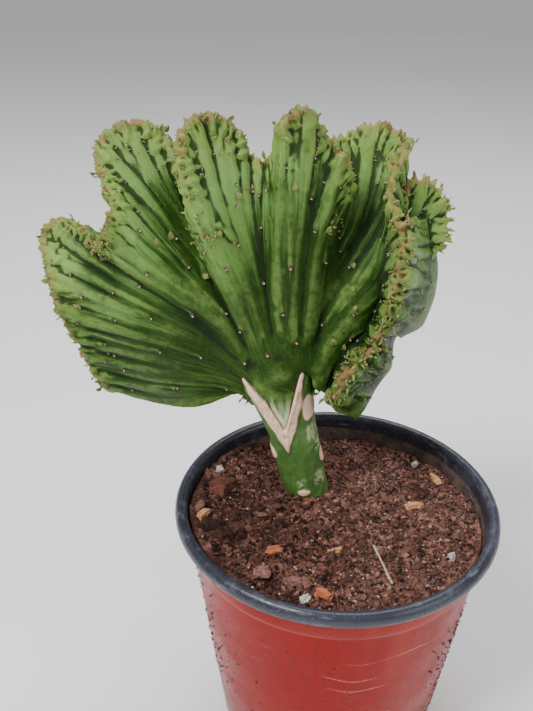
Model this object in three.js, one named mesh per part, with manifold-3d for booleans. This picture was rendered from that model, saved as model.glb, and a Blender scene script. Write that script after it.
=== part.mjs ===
// Grafted crested euphorbia in a round plastic nursery pot.
// Millimetres, +Z up. The origin is the centre of the pot's flat underside; the
// plant's broad face looks along -Y.
import * as THREE from 'three';
import { mergeVertices } from 'three/addons/utils/BufferGeometryUtils.js';
import Module from 'manifold-3d';

const wasm = await Module();
wasm.setup();

// ---------------------------------------------------------------- dimensions
const GAP = 0.3;              // clearance kept between pieces that touch
// pot: a six-inch nursery pot
const POT_HEIGHT = 140;
const LIP_RADIUS = 78;        // outside of the rolled lip
const LIP_DROP = 7.5;         // how far the lip turns down
const WALL_TOP_RADIUS = 72.6; // outside of the wall, just under the lip
const WALL_BASE_RADIUS = 56;  // outside of the wall, at the bottom
const WALL = 1.3;
const STEP_Z = 121;           // faint moulded step round the wall
const FLOOR_Z = 3.4;          // inside face of the pot's floor
const DRAIN_HOLES = 6;
const DRAIN_RADIUS = 4.5;
const DRAIN_CIRCLE = 31;
// potting mix
const SOIL_Z = 128.6;         // height of the surface at the middle
const SOIL_SLOPE_X = -0.012;
const SOIL_SLOPE_Y = -0.035;
const SOIL_MOUND = 3.6;       // banked up round the foot of the stem
const SOIL_BANK = 5.2;        // heaped against the wall on one side
// rootstock: an upright succulent stem, [z, centre x, centre y, half width, half depth]
const STEM_Y = 19.7;
const STEM = [
  [86, -11.5, STEM_Y, 6.5, 6.5],
  [104, -12.5, STEM_Y, 9.2, 9.0],
  [118, -13.2, STEM_Y, 10.8, 10.4],
  [130, -13.6, STEM_Y, 11.1, 10.8],
  [141, -16.0, STEM_Y, 11.5, 11.0],
  [150, -18.3, STEM_Y, 11.8, 11.2],
  [163, -21.1, STEM_Y, 11.9, 11.3],
  [172, -23.6, STEM_Y, 12.8, 11.4],
  [181, -26.5, STEM_Y, 14.2, 11.4],
  [192, -29.2, STEM_Y, 15.8, 11.2],
  [203, -30.4, STEM_Y, 16.4, 10.6],
];
// graft cut: a V through the stem from front to back, [x, z]
const CUT_BOTTOM = [-25.2, 171.0];
const CUT_LEFT_BEND = [-33.8, 186.6];
const CUT_LEFT_TOP = [-46.0, 199.3];
const CUT_RIGHT_TOP = [-17.4, 207.0];
// heart of the graft, where all the fans spring from
const HUB_CENTRE = [-28.3, STEM_Y, 201.0];
const HUB_RADII = [14.2, 11.0, 12.5];
// crest: how finely each fan is divided
const SHEET_ROWS = [0, 0.35, 0.7, 1];
const COARSE_ROWS = [0, 0.5, 1];
const SHEET_STEPS = 2;        // divisions between two columns
const TOOTH = 1.7;            // how far the rim's teeth stand out

// Each fan of the crest is a grown sheet. A column is a line of four points from
// the graft to the growing rim; thickness is given at the same four places.
const LEFT_LOBES = {
  thickness: [15, 9, 6.5, 5.0],
  columns: [
    [[-34.5,22.7,193.9],[-49.0,23.7,187.1],[-72.7,24.7,177.1],[-113.2,26.7,184.2]],
    [[-36.4,22.7,187.2],[-56.5,20.7,191.6],[-89.6,19.7,194.1],[-117.9,21.7,200.4]],
    [[-36.4,21.7,190.0],[-57.6,18.7,200.4],[-91.6,14.7,210.8],[-122.1,15.7,219.4]],
    [[-36.4,20.7,192.3],[-58.3,17.7,207.9],[-93.0,11.7,223.7],[-127.2,11.7,234.3]],
    [[-36.4,19.7,194.5],[-59.0,16.7,213.7],[-94.9,11.7,233.6],[-128.9,13.7,245.9]],
    [[-36.4,19.7,195.6],[-59.8,16.7,217.8],[-97.2,12.7,240.8],[-132.2,19.7,255.6]],
    [[-35.9,19.7,196.7],[-60.2,16.7,221.4],[-98.8,14.7,246.6],[-134.5,27.7,263.8]],
    [[-35.9,19.7,197.8],[-60.1,16.7,223.9],[-97.8,15.7,250.5],[-126.3,29.7,269.2]],
    [[-35.5,19.7,198.9],[-59.5,15.7,227.0],[-94.0,14.7,252.3],[-116.1,23.7,266.7]],
    [[-35.5,19.7,200.0],[-58.5,14.7,229.5],[-89.4,10.7,254.0],[-106.5,10.7,263.5]],
    [[-35.0,19.7,201.1],[-57.5,14.7,231.9],[-85.3,10.7,257.7],[-101.0,11.7,275.1]],
    [[-35.0,19.7,202.2],[-57.1,15.7,233.9],[-83.8,14.7,262.6],[-99.5,16.7,283.0]],
    [[-34.5,19.7,203.2],[-56.2,16.7,235.5],[-83.2,19.7,268.0],[-105.3,24.7,290.9]],
    [[-34.5,19.7,204.3],[-55.3,17.7,237.0],[-82.5,23.7,273.3],[-107.5,31.7,299.2]],
    [[-34.1,19.7,205.4],[-54.5,19.7,237.5],[-80.5,26.7,276.9],[-103.3,35.7,306.3]],
    [[-34.1,19.7,205.9],[-53.2,20.7,237.6],[-77.6,28.7,278.5],[-94.9,37.7,309.7]],
    [[-33.6,19.7,206.5],[-51.9,21.7,236.7],[-74.3,29.7,276.8],[-85.5,37.7,308.9]],
    [[-33.6,19.7,206.5],[-50.7,23.7,234.3],[-71.3,31.7,271.2],[-77.5,35.7,304.0]],
    [[-33.1,20.7,205.4],[-49.0,25.7,230.8],[-66.8,32.7,261.5],[-70.9,32.7,292.8]],
    [[-32.7,21.7,203.2],[-47.2,26.7,226.8],[-61.3,32.7,250.1],[-65.4,31.7,275.3]],
    [[-31.7,22.7,200.5],[-45.0,27.7,221.2],[-55.6,31.7,238.2],[-60.9,29.7,258.4]],
  ],
};
const CENTRE_LOBES = {
  thickness: [15, 9.5, 7.0, 5.0],
  columns: [
    [[-33.5,19.7,191.2],[-43.8,17.7,216.9],[-52.5,16.7,241.3],[-60.0,17.7,261.6]],
    [[-33.1,18.7,194.0],[-43.3,15.7,221.0],[-53.9,11.7,249.2],[-63.7,9.7,273.4]],
    [[-32.6,17.7,196.3],[-42.7,13.7,225.1],[-55.2,7.7,258.2],[-66.7,3.7,287.3]],
    [[-32.1,17.7,197.9],[-41.8,12.7,228.6],[-56.1,5.7,265.3],[-69.2,1.7,300.0]],
    [[-31.7,17.7,199.5],[-40.9,12.7,231.1],[-56.0,5.7,271.5],[-69.8,4.7,308.7]],
    [[-31.2,17.7,200.6],[-39.6,12.7,233.0],[-54.3,7.7,276.0],[-66.7,11.7,315.2]],
    [[-30.3,17.7,201.7],[-38.3,13.7,234.0],[-50.7,10.7,278.4],[-59.6,17.7,317.5]],
    [[-29.4,17.7,202.8],[-36.5,13.7,234.5],[-47.1,12.7,278.6],[-52.6,21.7,315.1]],
    [[-28.4,17.7,203.3],[-35.1,14.7,234.1],[-43.4,15.7,276.3],[-46.3,24.7,307.6]],
    [[-27.5,17.7,203.9],[-33.8,14.7,234.1],[-39.6,16.7,273.4],[-42.7,24.7,298.5]],
    [[-26.6,17.7,204.4],[-32.5,14.7,234.1],[-36.2,15.7,272.4],[-36.8,21.7,296.9]],
    [[-25.7,17.7,205.0],[-30.7,13.7,235.1],[-32.8,13.7,274.0],[-31.4,16.7,300.7]],
    [[-24.7,17.7,205.5],[-29.0,12.7,236.1],[-30.4,11.7,276.9],[-28.7,13.7,307.9]],
    [[-23.8,17.7,205.5],[-27.2,12.7,237.0],[-28.8,10.7,280.3],[-29.6,11.7,314.3]],
    [[-22.9,17.7,205.5],[-25.4,12.7,237.5],[-26.3,10.7,282.0],[-26.1,13.7,318.9]],
    [[-22.0,17.7,205.5],[-23.7,12.7,237.6],[-23.0,11.7,282.1],[-21.0,15.7,320.5]],
    [[-21.0,17.7,205.5],[-21.9,13.7,236.6],[-19.5,13.7,280.7],[-15.6,18.7,317.2]],
    [[-20.1,17.7,205.0],[-20.0,14.7,235.7],[-16.9,15.7,278.3],[-11.9,21.7,309.0]],
    [[-19.6,17.7,204.5],[-18.2,14.7,234.7],[-14.3,15.7,275.7],[-6.7,21.7,303.3]],
    [[-19.1,17.7,204.0],[-16.8,14.7,233.2],[-12.0,15.7,272.6],[-2.1,19.7,298.9]],
    [[-18.6,18.7,202.9],[-15.4,15.7,230.8],[-10.5,17.7,267.9],[1.2,23.7,290.2]],
    [[-18.0,19.7,201.2],[-14.3,17.7,227.3],[-10.5,20.7,261.8],[-2.5,27.7,278.4]],
  ],
};
const RIGHT_LOBES = {
  thickness: [15, 10, 7, 4.4],
  columns: [
    [[-22.2,23.7,201.1],[-11.5,29.7,230.8],[-3.3,39.7,268.5],[-7.1,45.7,300.8]],
    [[-21.3,22.7,201.7],[-9.9,27.7,233.8],[1.1,39.7,270.9],[0.1,47.7,301.7]],
    [[-20.4,21.7,202.2],[-8.2,26.7,235.2],[5.0,38.7,272.2],[6.7,49.7,305.2]],
    [[-19.5,20.7,202.8],[-6.4,25.7,236.2],[8.9,37.7,272.6],[14.4,48.7,307.2]],
    [[-18.6,19.7,203.4],[-4.7,24.7,236.7],[12.9,36.7,271.5],[20.9,44.7,306.4]],
    [[-18.1,19.7,203.4],[-3.0,23.7,236.6],[16.3,34.7,270.8],[24.9,37.7,303.4]],
    [[-17.6,19.7,202.8],[-1.2,22.7,236.1],[19.5,31.7,270.0],[23.3,27.7,300.3]],
    [[-17.1,19.7,202.3],[0.1,21.7,235.6],[20.4,27.7,268.6],[17.9,19.7,297.0]],
    [[-16.7,18.7,202.3],[1.0,20.7,234.5],[19.8,24.7,266.0],[15.9,13.7,290.7]],
    [[-16.2,18.7,201.8],[1.9,19.7,233.5],[18.9,22.7,263.1],[17.2,9.7,283.1]],
    [[-15.7,18.7,201.3],[2.9,19.7,232.0],[19.1,21.7,258.8],[20.2,3.7,276.6]],
    [[-15.3,17.7,201.3],[3.3,18.7,230.5],[19.8,20.7,253.6],[21.3,-1.3,269.9]],
    [[-14.8,17.7,200.8],[3.8,17.7,229.0],[20.2,19.7,247.3],[21.1,-4.3,262.4]],
    [[-14.3,17.7,200.2],[4.4,17.7,226.5],[19.8,19.7,241.1],[20.2,-6.3,255.2]],
    [[-13.8,17.7,199.7],[4.5,17.7,224.0],[19.0,19.7,234.7],[18.8,-6.3,247.6]],
    [[-13.3,17.7,199.2],[4.2,17.7,221.4],[17.5,18.7,228.6],[17.3,-4.3,238.8]],
    [[-12.9,17.7,198.6],[3.9,17.7,218.3],[15.1,17.7,222.5],[16.2,0.7,228.1]],
    [[-12.8,17.7,197.5],[3.2,17.7,215.2],[11.1,15.7,216.8],[10.8,-1.3,221.8]],
    [[-12.8,17.7,196.4],[1.8,16.7,212.6],[6.7,13.7,212.2],[4.8,-6.3,218.5]],
    [[-12.7,17.7,195.3],[0.2,16.7,208.9],[3.8,13.7,206.4],[0.8,-9.3,215.7]],
    [[-12.6,18.7,193.7],[-2.0,16.7,205.2],[1.4,14.7,199.4],[-1.1,-10.3,210.3]],
    [[-13.0,19.7,192.0],[-4.0,17.7,200.9],[-0.9,16.7,192.2],[-3.7,-8.3,203.5]],
    [[-13.4,20.7,189.7],[-6.1,18.7,195.9],[-3.8,18.7,186.0],[-6.9,-2.3,194.6]],
  ],
};
const FAR_RIGHT_LOBE = {
  thickness: [12, 9, 6, 4.2],
  columns: [
    [[5.7,27.7,219.0],[13.9,31.7,242.7],[19.4,29.7,262.8],[21.5,23.7,280.8]],
    [[6.6,27.7,219.5],[15.3,32.7,243.8],[22.0,30.7,265.3],[24.4,25.7,285.0]],
    [[7.9,27.7,220.6],[17.2,33.7,244.4],[25.1,31.7,267.3],[28.7,27.7,287.9]],
    [[9.3,27.7,221.1],[19.0,33.7,244.9],[28.3,32.7,267.9],[33.7,29.7,288.3]],
    [[10.7,27.7,221.6],[20.9,33.7,244.9],[31.0,32.7,267.4],[39.8,31.7,282.9]],
    [[12.1,27.7,221.7],[22.8,33.7,243.9],[33.4,32.7,265.1],[44.4,32.7,274.9]],
    [[13.5,27.7,221.1],[24.1,32.7,242.9],[35.0,31.7,261.7],[45.5,31.7,267.4]],
    [[14.4,26.7,220.6],[25.1,31.7,240.8],[35.0,29.7,257.7],[44.6,29.7,260.2]],
    [[14.8,25.7,219.5],[25.5,29.7,238.2],[33.6,26.7,253.7],[40.2,25.7,253.2]],
  ],
};
const RIGHT_FLANK = {
  thickness: [24, 19, 10.5, 4.2],
  columns: [
    [[27.4,41.7,262.8],[26.9,29.7,268.5],[25.4,17.7,274.0],[24.3,7.7,279.1]],
    [[31.1,43.7,255.3],[28.8,29.7,261.5],[25.5,14.7,267.9],[23.0,1.7,274.4]],
    [[33.2,43.7,247.4],[30.3,28.7,254.3],[26.3,12.7,261.4],[21.6,-2.3,269.0]],
    [[34.9,43.7,239.3],[31.2,27.7,247.0],[26.5,10.7,254.9],[21.4,-5.3,262.3]],
    [[34.3,41.7,231.9],[30.9,26.7,239.0],[26.3,9.7,246.9],[20.1,-7.3,255.2]],
    [[32.3,39.7,225.0],[29.2,25.7,231.5],[24.8,9.7,239.3],[18.7,-7.3,247.6]],
    [[29.1,36.7,218.4],[26.4,24.7,224.3],[22.3,9.7,231.5],[17.2,-5.3,238.8]],
    [[24.8,33.7,212.9],[22.9,22.7,218.0],[20.0,10.7,223.6],[16.1,-0.3,228.2]],
  ],
};
const LOW_RIGHT_COMB = {
  thickness: [19, 16, 9.5, 4.2],
  columns: [
    [[24.8,32.7,211.8],[23.0,22.7,216.9],[19.6,10.7,223.1],[16.1,-0.3,227.7]],
    [[21.8,29.7,207.4],[20.3,20.7,212.7],[17.7,10.7,219.0],[14.7,0.7,225.2]],
    [[18.5,29.7,200.9],[16.9,19.7,207.4],[14.2,8.7,214.4],[10.1,-3.3,222.4]],
    [[14.0,28.7,194.8],[12.5,18.7,201.5],[9.3,6.7,209.8],[4.7,-7.3,219.1]],
    [[10.8,27.7,189.7],[9.4,17.7,196.6],[5.7,4.7,205.7],[0.7,-10.3,216.3]],
    [[8.6,26.7,184.6],[7.2,16.7,191.2],[3.7,3.7,200.0],[-1.2,-11.3,210.4]],
    [[6.3,25.7,179.5],[5.2,16.7,185.6],[1.4,4.7,193.5],[-3.7,-9.3,203.1]],
    [[3.0,24.7,175.4],[1.6,16.7,180.5],[-1.8,6.7,187.3],[-6.5,-3.3,194.7]],
  ],
};
const BACK_LEFT_LOBE = {
  thickness: [14, 9, 6.5, 5.0],
  columns: [
    [[-29.5,25.7,179.7],[-33.4,32.7,174.2],[-38.5,37.7,169.9],[-42.6,39.7,167.4]],
    [[-30.0,27.7,182.0],[-36.5,39.7,178.2],[-43.8,49.7,173.4],[-49.3,56.7,169.2]],
    [[-30.5,27.7,185.4],[-39.6,43.7,186.4],[-49.2,57.7,185.6],[-58.2,69.7,183.8]],
    [[-30.6,27.7,188.8],[-42.6,45.7,195.6],[-54.4,61.7,198.7],[-66.1,74.7,200.4]],
    [[-30.6,27.7,191.6],[-44.6,45.7,204.1],[-58.2,61.7,213.5],[-72.3,73.7,219.3]],
    [[-30.6,27.7,194.4],[-45.5,44.7,211.8],[-60.8,59.7,226.5],[-74.8,65.7,239.0]],
    [[-30.7,27.7,196.6],[-45.4,43.7,217.7],[-61.3,56.7,237.4],[-73.6,59.7,254.7]],
    [[-30.2,27.7,198.3],[-44.4,41.7,222.9],[-59.0,53.7,245.9],[-68.2,57.7,266.4]],
    [[-29.7,26.7,199.9],[-42.4,39.7,227.0],[-54.9,51.7,251.7],[-60.6,59.7,272.6]],
    [[-28.8,25.7,201.0],[-40.0,37.7,229.0],[-50.1,49.7,253.5],[-52.3,63.7,273.4]],
    [[-27.9,24.7,201.6],[-37.6,35.7,228.9],[-45.8,47.7,252.3],[-44.7,63.7,270.5]],
  ],
};
const BACK_RIGHT_LOBE = {
  thickness: [14, 9, 6.5, 5.0],
  columns: [
    [[-25.9,27.7,198.9],[-30.9,37.7,224.9],[-36.8,45.7,249.1],[-39.8,59.7,266.0]],
    [[-24.9,27.7,198.9],[-28.0,41.7,224.1],[-31.1,53.7,248.1],[-32.2,69.7,267.8]],
    [[-23.4,28.7,198.3],[-24.6,44.7,222.8],[-25.2,59.7,245.9],[-23.3,77.7,267.4]],
    [[-22.0,28.7,197.8],[-21.1,46.7,220.8],[-18.6,63.7,243.4],[-13.6,81.7,264.2]],
    [[-20.5,28.7,196.7],[-17.5,47.7,218.2],[-12.5,65.7,238.4],[-4.8,81.7,258.0]],
    [[-19.5,28.7,195.6],[-14.9,48.7,214.5],[-7.2,65.7,232.0],[1.9,77.7,248.9]],
    [[-18.5,28.7,193.9],[-12.8,48.7,210.1],[-3.5,63.7,224.1],[6.2,73.7,237.5]],
    [[-18.0,28.7,191.7],[-11.2,47.7,205.0],[-1.2,61.7,215.1],[8.3,71.7,224.1]],
    [[-17.4,28.7,189.4],[-10.1,45.7,199.3],[-0.3,59.7,204.7],[8.0,69.7,209.2]],
    [[-16.9,27.7,187.2],[-10.0,43.7,193.5],[-1.7,55.7,195.2],[5.2,64.7,195.3]],
    [[-16.9,26.7,185.0],[-10.5,39.7,188.9],[-3.8,49.7,186.8],[0.8,55.7,184.7]],
    [[-17.3,25.7,182.1],[-12.1,33.7,183.1],[-7.2,39.7,180.8],[-3.8,43.7,177.3]],
  ],
};

// ------------------------------------------------------------------ materials
const mat = (color, roughness, metalness = 0) =>
  new THREE.MeshStandardMaterial({ color, roughness, metalness });
const POT_PLASTIC = mat(0x8e4034, 0.45);
const SOIL = mat(0x35221b, 0.95);
const STEM_GREEN = mat(0x4c7a36, 0.5);
const CREST_GREEN = mat(0x4d8438, 0.5);
const BARK = mat(0x6f4636, 0.85);
const WOOD = mat(0xb58a62, 0.8);
const STRAW = mat(0xc9b27c, 0.7);
const PERLITE = mat(0xdcd8cf, 0.9);

// -------------------------------------------------------------------- helpers
const WELD = 1e-3;            // vertices nearer than this are one
const V = (x, y, z) => new THREE.Vector3(x, y, z);

// indexed geometry from rows of points
function solid(points, faces) {
  const g = new THREE.BufferGeometry();
  g.setAttribute('position', new THREE.Float32BufferAttribute(points.flat(), 3));
  g.setIndex(faces.flat());
  return g;
}

function toManifold(geometry, weld = 1e-5) {
  let g = geometry.clone();
  g.deleteAttribute('normal');
  g.deleteAttribute('uv');
  g = mergeVertices(g, weld);
  return new wasm.Manifold(new wasm.Mesh({
    numProp: 3,
    vertProperties: new Float32Array(g.attributes.position.array),
    triVerts: new Uint32Array(g.index.array),
  }));
}

function signedVolume(p, f) {
  let v = 0;
  for (const [a, b, c] of f) {
    const [ax, ay, az] = p[a], [bx, by, bz] = p[b], [cx, cy, cz] = p[c];
    v += ax * (by * cz - bz * cy) + ay * (bz * cx - bx * cz) + az * (bx * cy - by * cx);
  }
  return v / 6;
}

// back to three.js, keeping the one outer skin: pockets sealed inside are filled
function fromManifold(m) {
  let body = m, geometry = null;
  for (let pass = 0; pass < 6; pass++) {
    const bodies = body.decompose();
    if (geometry && bodies.length === 1) break;
    const mesh = bodies.reduce((a, b) => (b.volume() > a.volume() ? b : a)).getMesh();
    const np = mesh.numProp, vp = mesh.vertProperties;
    const points = [], faces = [];
    for (let i = 0; i < vp.length; i += np) points.push([vp[i], vp[i + 1], vp[i + 2]]);
    for (let i = 0; i < mesh.triVerts.length; i += 3) {
      faces.push([mesh.triVerts[i], mesh.triVerts[i + 1], mesh.triVerts[i + 2]]);
    }
    geometry = mergeVertices(solid(points, faces), WELD);
    body = toManifold(geometry, WELD);
  }
  return geometry;
}

// a closed body through a stack of rings (each ring a list of points)
function loft(rings) {
  const n = rings[0].length;
  const p = rings.flat(), f = [];
  for (let r = 0; r + 1 < rings.length; r++) {
    for (let i = 0; i < n; i++) {
      const j = (i + 1) % n, a = r * n + i, b = r * n + j, c = a + n, d = b + n;
      f.push([a, b, d], [a, d, c]);
    }
  }
  const centre = (ring) => [0, 1, 2].map((k) => ring.reduce((s, q) => s + q[k], 0) / n);
  const lo = p.length; p.push(centre(rings[0]));
  const hi = p.length; p.push(centre(rings[rings.length - 1]));
  const last = (rings.length - 1) * n;
  for (let i = 0; i < n; i++) {
    const j = (i + 1) % n;
    f.push([lo, j, i], [hi, last + i, last + j]);
  }
  if (signedVolume(p, f) < 0) f.forEach((t) => t.reverse());
  return solid(p, f);
}

// ------------------------------------------------------------------------ pot
function potRadius(z) {
  const t = z / (POT_HEIGHT - LIP_DROP);
  return WALL_BASE_RADIUS + (WALL_TOP_RADIUS - WALL_BASE_RADIUS) * t;
}
function makePot() {
  const P = (r, z) => new THREE.Vector2(r, z);
  const zl = POT_HEIGHT - LIP_DROP;
  const profile = [
    P(0, 0), P(18, 0), P(20, 2.0), P(43, 2.0), P(44.5, 0), P(51, 0), P(53.8, 1.2),
    P(potRadius(5), 5),
    P(potRadius(STEP_Z - 1) - 0.5, STEP_Z - 1), P(potRadius(STEP_Z), STEP_Z),
    P(potRadius(zl), zl),
    P(LIP_RADIUS - 2.2, zl), P(LIP_RADIUS - 0.5, zl + 1.2), P(LIP_RADIUS, zl + 3.4),
    P(LIP_RADIUS - 0.7, zl + 5.9), P(LIP_RADIUS - 2.3, POT_HEIGHT),
    P(LIP_RADIUS - 4.6, POT_HEIGHT - 0.4), P(LIP_RADIUS - 6.1, POT_HEIGHT - 2.2),
    P(potRadius(STEP_Z) - WALL, STEP_Z), P(potRadius(6) - WALL, 6),
    P(potRadius(0) - WALL - 2.2, FLOOR_Z), P(0, FLOOR_Z),
  ];
  const body = toManifold(new THREE.LatheGeometry(profile, 56).rotateX(Math.PI / 2));
  let pot = body;
  for (let i = 0; i < DRAIN_HOLES; i++) {
    const a = ((i + 0.5) / DRAIN_HOLES) * Math.PI * 2;
    const hole = new THREE.CylinderGeometry(DRAIN_RADIUS, DRAIN_RADIUS, 12, 14);
    hole.rotateX(Math.PI / 2);
    hole.translate(DRAIN_CIRCLE * Math.cos(a), DRAIN_CIRCLE * Math.sin(a), 2);
    pot = pot.subtract(toManifold(hole));
  }
  return pot;
}

// ----------------------------------------------------------------------- soil
function soilHeight(x, y) {
  const r = Math.hypot(x, y);
  const bumps = 0.9 * Math.sin(x * 0.11 + 1.3) * Math.cos(y * 0.13 - 0.4)
    + 0.6 * Math.sin(x * 0.21 - y * 0.17 + 2.1);
  const bank = 1.4 * Math.max(0, (r - 50) / 22) * (y < 0 ? 1 : 0.2);
  const t = Math.min(1, Math.max(0, (-x - 16) / 50));
  const heap = SOIL_BANK * t * t * (3 - 2 * t);
  const mound = SOIL_MOUND * Math.exp(-((x + 13.6) ** 2 + (y - STEM_Y) ** 2) / 300);
  return SOIL_Z + SOIL_SLOPE_X * x + SOIL_SLOPE_Y * y + bumps + bank + heap + mound;
}
function innerRadius(z) {
  return potRadius(z) - WALL;
}
function makeSoil() {
  const seg = 40;
  const ring = (r, z) => Array.from({ length: seg }, (_, i) => {
    const a = (i / seg) * Math.PI * 2;
    const x = r * Math.cos(a), y = r * Math.sin(a);
    return [x, y, z === null ? soilHeight(x, y) : z];
  });
  const keep = Math.cos(Math.PI / 56); // stay inside the pot wall's flats
  const rings = [
    ring((potRadius(0) - WALL - 2.6) * keep - GAP, FLOOR_Z + GAP),
    ring((innerRadius(7) - 0.2) * keep - GAP, 7),
    ring((innerRadius(STEP_Z) - 0.5) * keep - GAP, STEP_Z - 2),
    ring((innerRadius(STEP_Z) - 0.3) * keep - GAP, null),
    ring(63, null), ring(52, null), ring(40, null), ring(27, null), ring(13, null),
  ];
  return toManifold(loft(rings));
}

// ----------------------------------------------------------------------- stem
function stemSolid(grow) {
  const seg = 20;
  const rows = STEM.map((r) => [...r]);
  rows[0][0] -= grow;
  rows[rows.length - 1][0] += grow;
  return toManifold(loft(rows.map(([z, cx, cy, rx, ry]) => Array.from({ length: seg }, (_, i) => {
    const a = (i / seg) * Math.PI * 2;
    const angular = 1 + 0.045 * Math.cos(3 * a + 0.5); // the stem is blunt-angled
    return [cx + (rx * angular + grow) * Math.cos(a), cy + (ry * angular + grow) * Math.sin(a), z];
  }))));
}
// the graft's V, as a prism running front to back
function cutPrism(shrink) {
  const [bx, bz] = CUT_BOTTOM, [mx, mz] = CUT_LEFT_BEND;
  const [lx, lz] = CUT_LEFT_TOP, [rx, rz] = CUT_RIGHT_TOP;
  const outline = [
    [bx, bz + shrink * 2.4],
    [rx - shrink, rz],
    [rx - shrink, rz + 15],
    [lx + shrink, rz + 15],
    [lx + shrink, lz + shrink * 0.8],
    [mx + shrink, mz + shrink * 0.8],
  ];
  const shape = new THREE.Shape(outline.map(([x, z]) => new THREE.Vector2(x, z)));
  const g = new THREE.ExtrudeGeometry(shape, { depth: 60, bevelEnabled: false });
  g.rotateX(Math.PI / 2);           // depth now runs along -Y
  g.translate(0, STEM_Y + 30, 0);
  return toManifold(g);
}

// ---------------------------------------------------------------------- crest
function catmull(list, t) {
  const n = list.length - 1;
  const i = Math.min(Math.floor(t), n - 1), u = t - i;
  const at = (k) => {
    if (k < 0) return list[0].map((c, d) => 2 * c - list[1][d]);
    if (k > n) return list[n].map((c, d) => 2 * c - list[n - 1][d]);
    return list[k];
  };
  const [a, b, c, d] = [at(i - 1), at(i), at(i + 1), at(i + 2)];
  return b.map((_, k) => 0.5 * (2 * b[k] + (c[k] - a[k]) * u
    + (2 * a[k] - 5 * b[k] + 4 * c[k] - d[k]) * u * u
    + (3 * b[k] - a[k] - 3 * c[k] + d[k]) * u * u * u));
}
function sheetPoint(columns, k, s) {
  const column = [0, 1, 2, 3].map((r) => catmull(columns.map((c) => c[r]), k));
  return V(...catmull(column, s * 3));
}
function makeSheet({ thickness, columns }, each = SHEET_STEPS, levels = SHEET_ROWS) {
  const last = columns.length - 1;
  const steps = last * each;
  const rows = levels.length;
  const loops = [];
  for (let i = 0; i <= steps; i++) {
    const k = (i / steps) * last;
    const front = [], back = [];
    let tip = null;
    levels.forEach((s, r) => {
      const p = sheetPoint(columns, k, s);
      const ka = Math.max(0, k - 0.3), kb = Math.min(last, k + 0.3);
      const du = sheetPoint(columns, kb, s).sub(sheetPoint(columns, ka, s));
      const sa = Math.max(0, s - 0.1), sb = Math.min(1, s + 0.1);
      const dv = sheetPoint(columns, k, sb).sub(sheetPoint(columns, k, sa));
      const nrm = du.clone().cross(dv).normalize();
      const half = catmull(thickness.map((t) => [t]), s * 3)[0] / 2;
      front.push(p.clone().addScaledVector(nrm, half));
      back.push(p.clone().addScaledVector(nrm, -half));
      if (r === rows - 1) {
        tip = p.clone().addScaledVector(dv.normalize(), (i % 2 ? 0.4 : TOOTH) + half * 0.4);
      }
    });
    loops.push([...front, tip, ...back.reverse()].map((q) => q.toArray()));
  }
  const n = loops[0].length, p = loops.flat(), f = [];
  for (let i = 0; i < steps; i++) {
    for (let j = 0; j < n; j++) {
      const a = i * n + j, b = i * n + ((j + 1) % n), c = a + n, d = b + n;
      f.push([a, b, d], [a, d, c]);
    }
  }
  for (const [o, flip] of [[0, true], [steps * n, false]]) {
    const cap = [];
    for (let j = 0; j < rows - 1; j++) {
      const a = o + j, b = o + j + 1, c = o + n - 1 - j, d = o + n - 2 - j;
      cap.push([a, b, d], [a, d, c]);
    }
    cap.push([o + rows - 1, o + rows, o + rows + 1]);
    f.push(...(flip ? cap.map((t) => [t[0], t[2], t[1]]) : cap));
  }
  if (signedVolume(p, f) < 0) f.forEach((t) => t.reverse());
  return toManifold(solid(p, f));
}

// --------------------------------------------------------------------- pieces
const root = new THREE.Group();
root.name = 'potted_euphorbia';
function add(name, geometry, material) {
  geometry.computeVertexNormals();
  const mesh = new THREE.Mesh(geometry, material);
  mesh.name = name;
  root.add(mesh);
  return mesh;
}

add('nursery_pot', fromManifold(makePot()), POT_PLASTIC);

// scion: the fans and the wedge of tissue that fills the V of the graft
let crest = [
  ...[LEFT_LOBES, CENTRE_LOBES, RIGHT_LOBES].map((s) => makeSheet(s)),
  makeSheet(FAR_RIGHT_LOBE, 1),
  ...[RIGHT_FLANK, LOW_RIGHT_COMB, BACK_LEFT_LOBE, BACK_RIGHT_LOBE]
    .map((s) => makeSheet(s, 1, COARSE_ROWS)),
].reduce((a, b) => a.add(b));
const wedge = stemSolid(-0.5).intersect(cutPrism(GAP));
const stemKeepOut = stemSolid(GAP).subtract(cutPrism(GAP));
const hub = new THREE.SphereGeometry(1, 22, 12);
hub.rotateX(Math.PI / 2);
hub.scale(...HUB_RADII);
hub.translate(...HUB_CENTRE);
crest = crest.add(wedge).add(toManifold(hub)).subtract(stemKeepOut);
add('crest_fan', fromManifold(crest), CREST_GREEN);
add('rootstock_stem', fromManifold(stemSolid(0).subtract(cutPrism(0))), STEM_GREEN);

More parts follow.
